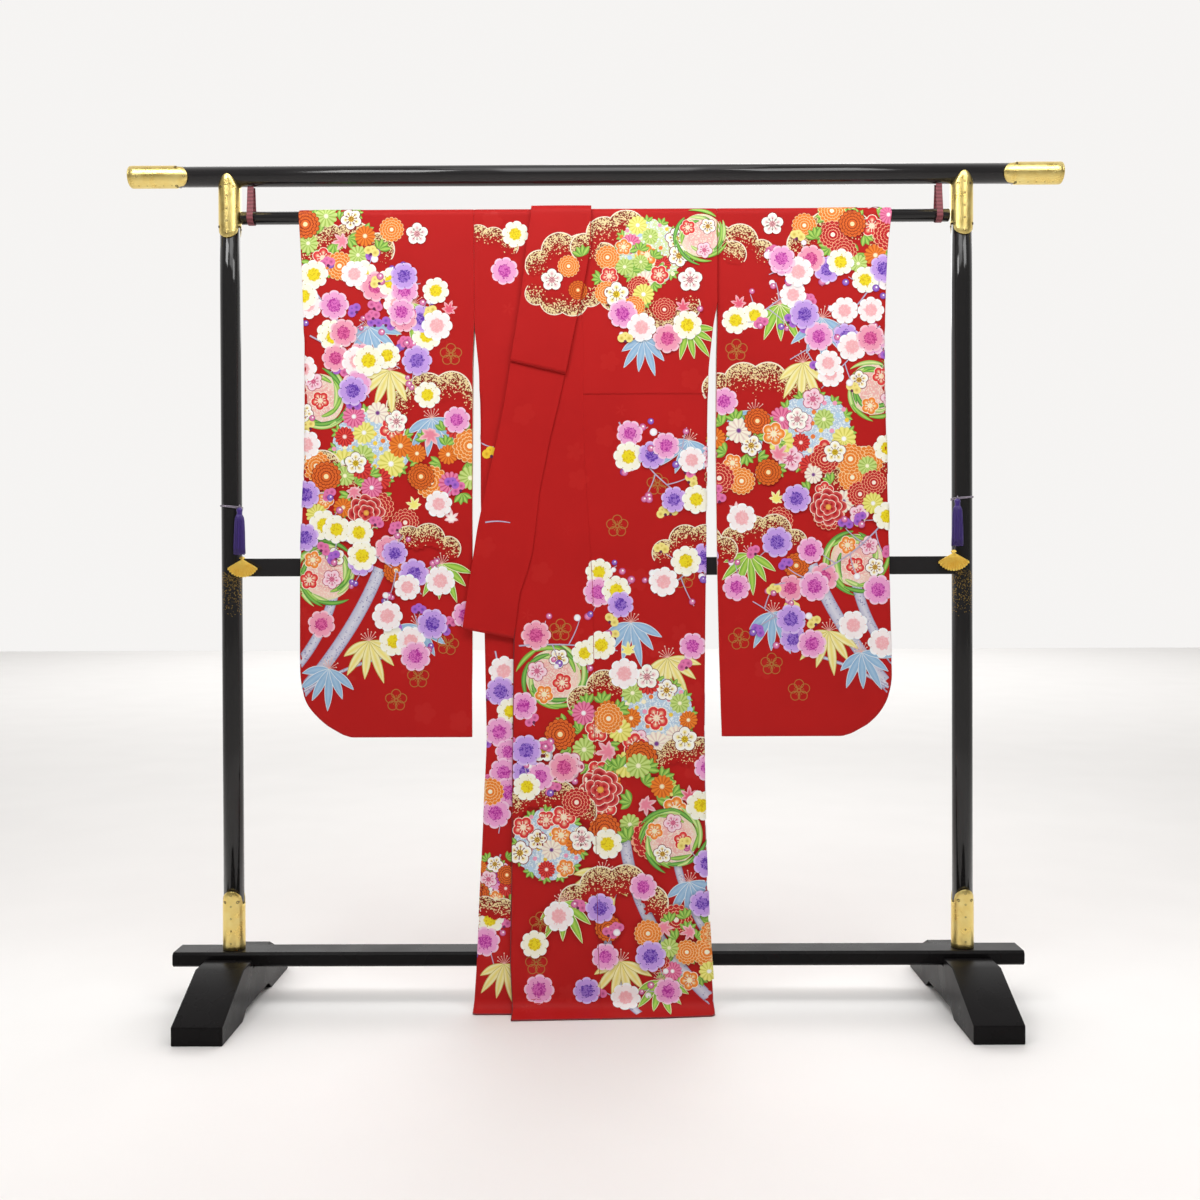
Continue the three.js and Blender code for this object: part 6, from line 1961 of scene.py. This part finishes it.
def make_strap(side, x):
    """A ribbon slung under the rod: two runs down from the beam joined by a half circle about the rod."""
    radius, spread, steps = 13.7, -8.5, 14
    top = BEAM_Z - math.sqrt(20.1**2 - (radius + spread) ** 2) - 0.6
    angle = np.linspace(np.pi, 2 * np.pi, 19)
    lift = np.linspace(0, 1, steps)[:-1]
    wave = 0.5 * np.sin(lift * 7 + x)
    down = np.stack([-(radius + spread * (1 - lift)) + wave * (1 - lift), top + (ROD_Z - top) * lift], -1)
    bend = np.stack([radius * np.cos(angle), ROD_Z + radius * np.sin(angle)], -1)
    path = np.concatenate([down, bend, down[::-1] * [-1, 1]])
    across = np.array([-6, -5.2, -2.6, 0, 2.6, 5.2, 6])
    lines = [np.stack([np.full(len(path), x + a), path[:, 0], path[:, 1]], -1) for a in across]
    points = np.stack(lines, 1)
    run = np.concatenate([[0], np.cumsum(np.linalg.norm(np.diff(path, axis=0), axis=1))])
    name = f"strap_{side}_ribbon"
    mesh = new_mesh(name, points.reshape(-1, 3), [grid_faces(len(path), len(across))])
    uv = np.stack([np.tile(across, (len(path), 1)), np.repeat(run[:, None], len(across), 1)], -1)
    set_uv(mesh, "cloth", uv.reshape(-1, 2) * MM)
    piece = new_object(name, mesh, RIBBON_CLOTH)
    wall = piece.modifiers.new("thickness", "SOLIDIFY")
    wall.thickness, wall.offset = 1.0 * MM, 0.0
    keep(piece, "ribbon", f"strap_{side}")


ORNAMENTS = {
    # side: tassel x, y, post x, tassel top, fan x, fan z, fan turn
    "minus_x": (-688, -26, -711, 969, -683, 868, 0.0),
    "plus_x": (694, -28, 711, 981, 687, 876, math.radians(-24)),
}


# The tassel's head and its binding: height below the top and radius.
TASSEL_KNOT = [(0, 0.3), (-1, 3.0), (-3.4, 5.4), (-6.4, 6.1), (-9.2, 5.0), (-10.0, 5.4), (-11.0, 5.0),
               (-12.0, 5.4), (-13.0, 5.0), (-14.0, 5.5), (-15.0, 5.2), (-18.5, 6.0), (-19.5, 3.0)]


def make_tassel(side, x, y, top):
    """Strands that leave the bound head on a disc of golden-angle places, swell to twice as wide within a
    tenth of their length, by 1 - exp(-16 t), and then hang nearly straight."""
    rng = np.random.default_rng(5 if side == "minus_x" else 6)
    length, head, flare, number = 92.0, 15.0, 11.0, 130
    k = np.arange(number)
    reach = np.sqrt((k + 0.5) / number)
    angle = k * math.pi * (3 - math.sqrt(5))
    t = np.array([0, 0.03, 0.08, 0.16, 0.30, 0.48, 0.66, 0.84, 1])
    swell = 4.6 * (1 - np.exp(-t * 16))
    parts = []
    for r, a, ends in zip(reach, angle, rng.uniform(-3.5, 1.0, number)):
        bow = r * (4.4 + swell + (flare - 9.0) * t) + 0.5 * np.sin(t * 6 + a * 3) * t
        fall = -head + 1 - (length - head + ends) * t
        path = np.stack([bow * np.cos(a + 0.2 * t), bow * np.sin(a + 0.2 * t), fall], -1)
        parts.append((pipe(path, 0.72, 5, up=(0, 1, 0.01)), 0))
    parts.append((turned(TASSEL_KNOT[::-1], 24), 0))
    parts.append((pipe(ring_path((0, 0, 1.6), 2.6, (1, 0, 0), 16), 0.8, 6, up=(0, 1, 0.1), closed=True), 1))
    parts = [(shift_points(part, (x, y, top)), number) for part, number in parts]
    lay_piece(f"tassel_{side}_silk", parts, "tassel", [f"tassel_{side}"], SILK_THREAD, CORD_PLAIT)


def ring_path(centre, radius, square_to, steps, tilt=0.0):
    """A circle of steps places about a centre, its plane square to an axis, tipped about y by tilt."""
    a = np.arange(steps) * 2 * np.pi / steps
    if square_to == (1, 0, 0):
        flat = np.stack([0 * a, radius * np.cos(a), radius * np.sin(a)], -1)
    else:
        flat = np.stack([radius * np.cos(a), radius * np.sin(a), 0 * a], -1)
    c, s = math.cos(tilt), math.sin(tilt)
    turn = np.array([[c, 0, -s], [0, 1, 0], [s, 0, c]])
    return flat @ turn + np.asarray(centre, float)


HOOP_RADIUS = 20.9  # middle of the cord where it goes round a post


def make_cord(side, x, y, post_x, top):
    """Two turns of cord round the post and a short drop to the tassel's loop."""
    tilt = -0.12 * np.sign(post_x)
    parts = []
    for rise, lean in ((1.1, tilt), (3.0, tilt * 0.7)):
        hoop = ring_path((post_x, 0, top + rise), HOOP_RADIUS, (0, 0, 1), 48, lean)
        parts.append(pipe(hoop, 1.05, 8, closed=True))
    grip = np.array([x - post_x, y, 0.0])
    grip *= 21.2 / np.linalg.norm(grip)
    grip[2] = -grip[0] * math.sin(tilt)
    start = grip + np.array([post_x, 0, top + 1.1])
    end = np.array([x, y, top + 1.9])
    t = np.linspace(0, 1, 8)[:, None]
    parts.append(pipe(start + (end - start) * t - np.array([0, 0, 0.6]) * np.sin(np.pi * t), 1.0, 8))
    lay_piece(f"cord_{side}_plait", [(part, 0) for part in parts], "cord", [f"cord_{side}"], CORD_PLAIT)


def make_fan(side, x, z, turn, y, thread_top):
    """An open fan: leaf folds rise and fall 2.4 mm between 13 ribs, whose tails spread above the
    pivot, with a thread from the tassel."""
    ribs, reach, limit = 13, 35.0, math.radians(60)
    steps = 4 * ribs
    angle = -limit + 2 * limit * np.arange(steps + 1) / steps
    fold = 1 - np.abs((np.arange(steps + 1) / 4) % 1 * 2 - 1) * 2
    radii = np.array([9.0, 12, 18, 24, 30, 34, 35.0])
    out = -1.2 * fold[None] * radii[:, None] / reach
    rim = radii[:, None] - np.where(radii[:, None] > 33, 1.8 * (1 - fold[None]) / 2, 0)
    leaf_grid = np.stack([rim * np.sin(angle), out, -rim * np.cos(angle)], -1)
    back = leaf_grid + [0, 0.7, 0]
    front_faces, n = grid_faces(len(radii), steps + 1), len(radii) * (steps + 1)
    border = np.concatenate([np.arange(steps + 1), np.arange(1, len(radii)) * (steps + 1) + steps,
                             n - 2 - np.arange(steps), np.arange(len(radii) - 2, 0, -1) * (steps + 1)])
    following = np.roll(border, -1)
    wall = np.stack([border, border + n, following + n, following], -1)
    fan = (np.concatenate([leaf_grid.reshape(-1, 3), back.reshape(-1, 3)]),
           [front_faces, front_faces[:, ::-1] + n, wall])
    parts = [(fan, 0)]
    for k in range(ribs + 1):
        a = -limit + 2 * limit * k / ribs
        path = np.array([[r * math.sin(a), -0.9 - 0.2 * (k % 2), -r * math.cos(a)]
                         for r in (-6, 0.5, 8, 20, 33)])
        parts.append((pipe(path, np.array([1.1, 0.9, 0.9, 0.8, 0.6]), 6, up=(0, 1, 0)), 0))
    parts.append((dome((0, -1.6, 0), 2.4, (0, -1, 0), 16), 0))
    c, s = math.cos(turn), math.sin(turn)
    matrix = np.array([[c, s, 0], [-s, c, 0], [0, 0, 1]])
    parts = [((p @ matrix + [x, y, z], f), number) for (p, f), number in parts]
    tassel_x, tassel_y = ORNAMENTS[side][:2]
    t = np.linspace(0, 1, 10)[:, None]
    start, end = np.array([tassel_x, tassel_y, thread_top]), np.array([x, y, z + 1])
    parts.append((pipe(start + (end - start) * t, 0.45, 6, up=(0, 1, 0)), 1))
    eye = ring_path((x, y, z + 2.4), 2.2, (1, 0, 0), 14)
    parts.append((pipe(eye, 0.6, 6, up=(0, 1, 0.1), closed=True), 1))
    lay_piece(f"fan_{side}_gilt", parts, "gold_fittings", [f"fan_{side}"], FOIL, CORD_PLAIT)


def make_stand():
    make_beam()
    make_rails()
    for side, sign in (("minus_x", -1), ("plus_x", 1)):
        x = sign * POST_X
        make_cap(side, sign)
        make_post(side, x)
        make_base(side, x)
        make_strap(side, -669 if sign < 0 else 665.5)
        tassel_x, tassel_y, post_x, top, fan_x, fan_z, turn = ORNAMENTS[side]
        make_tassel(side, tassel_x, tassel_y, top)
        make_cord(side, tassel_x, tassel_y, post_x, top)
        make_fan(side, fan_x, fan_z, turn, tassel_y, top - 78)


make_stand()
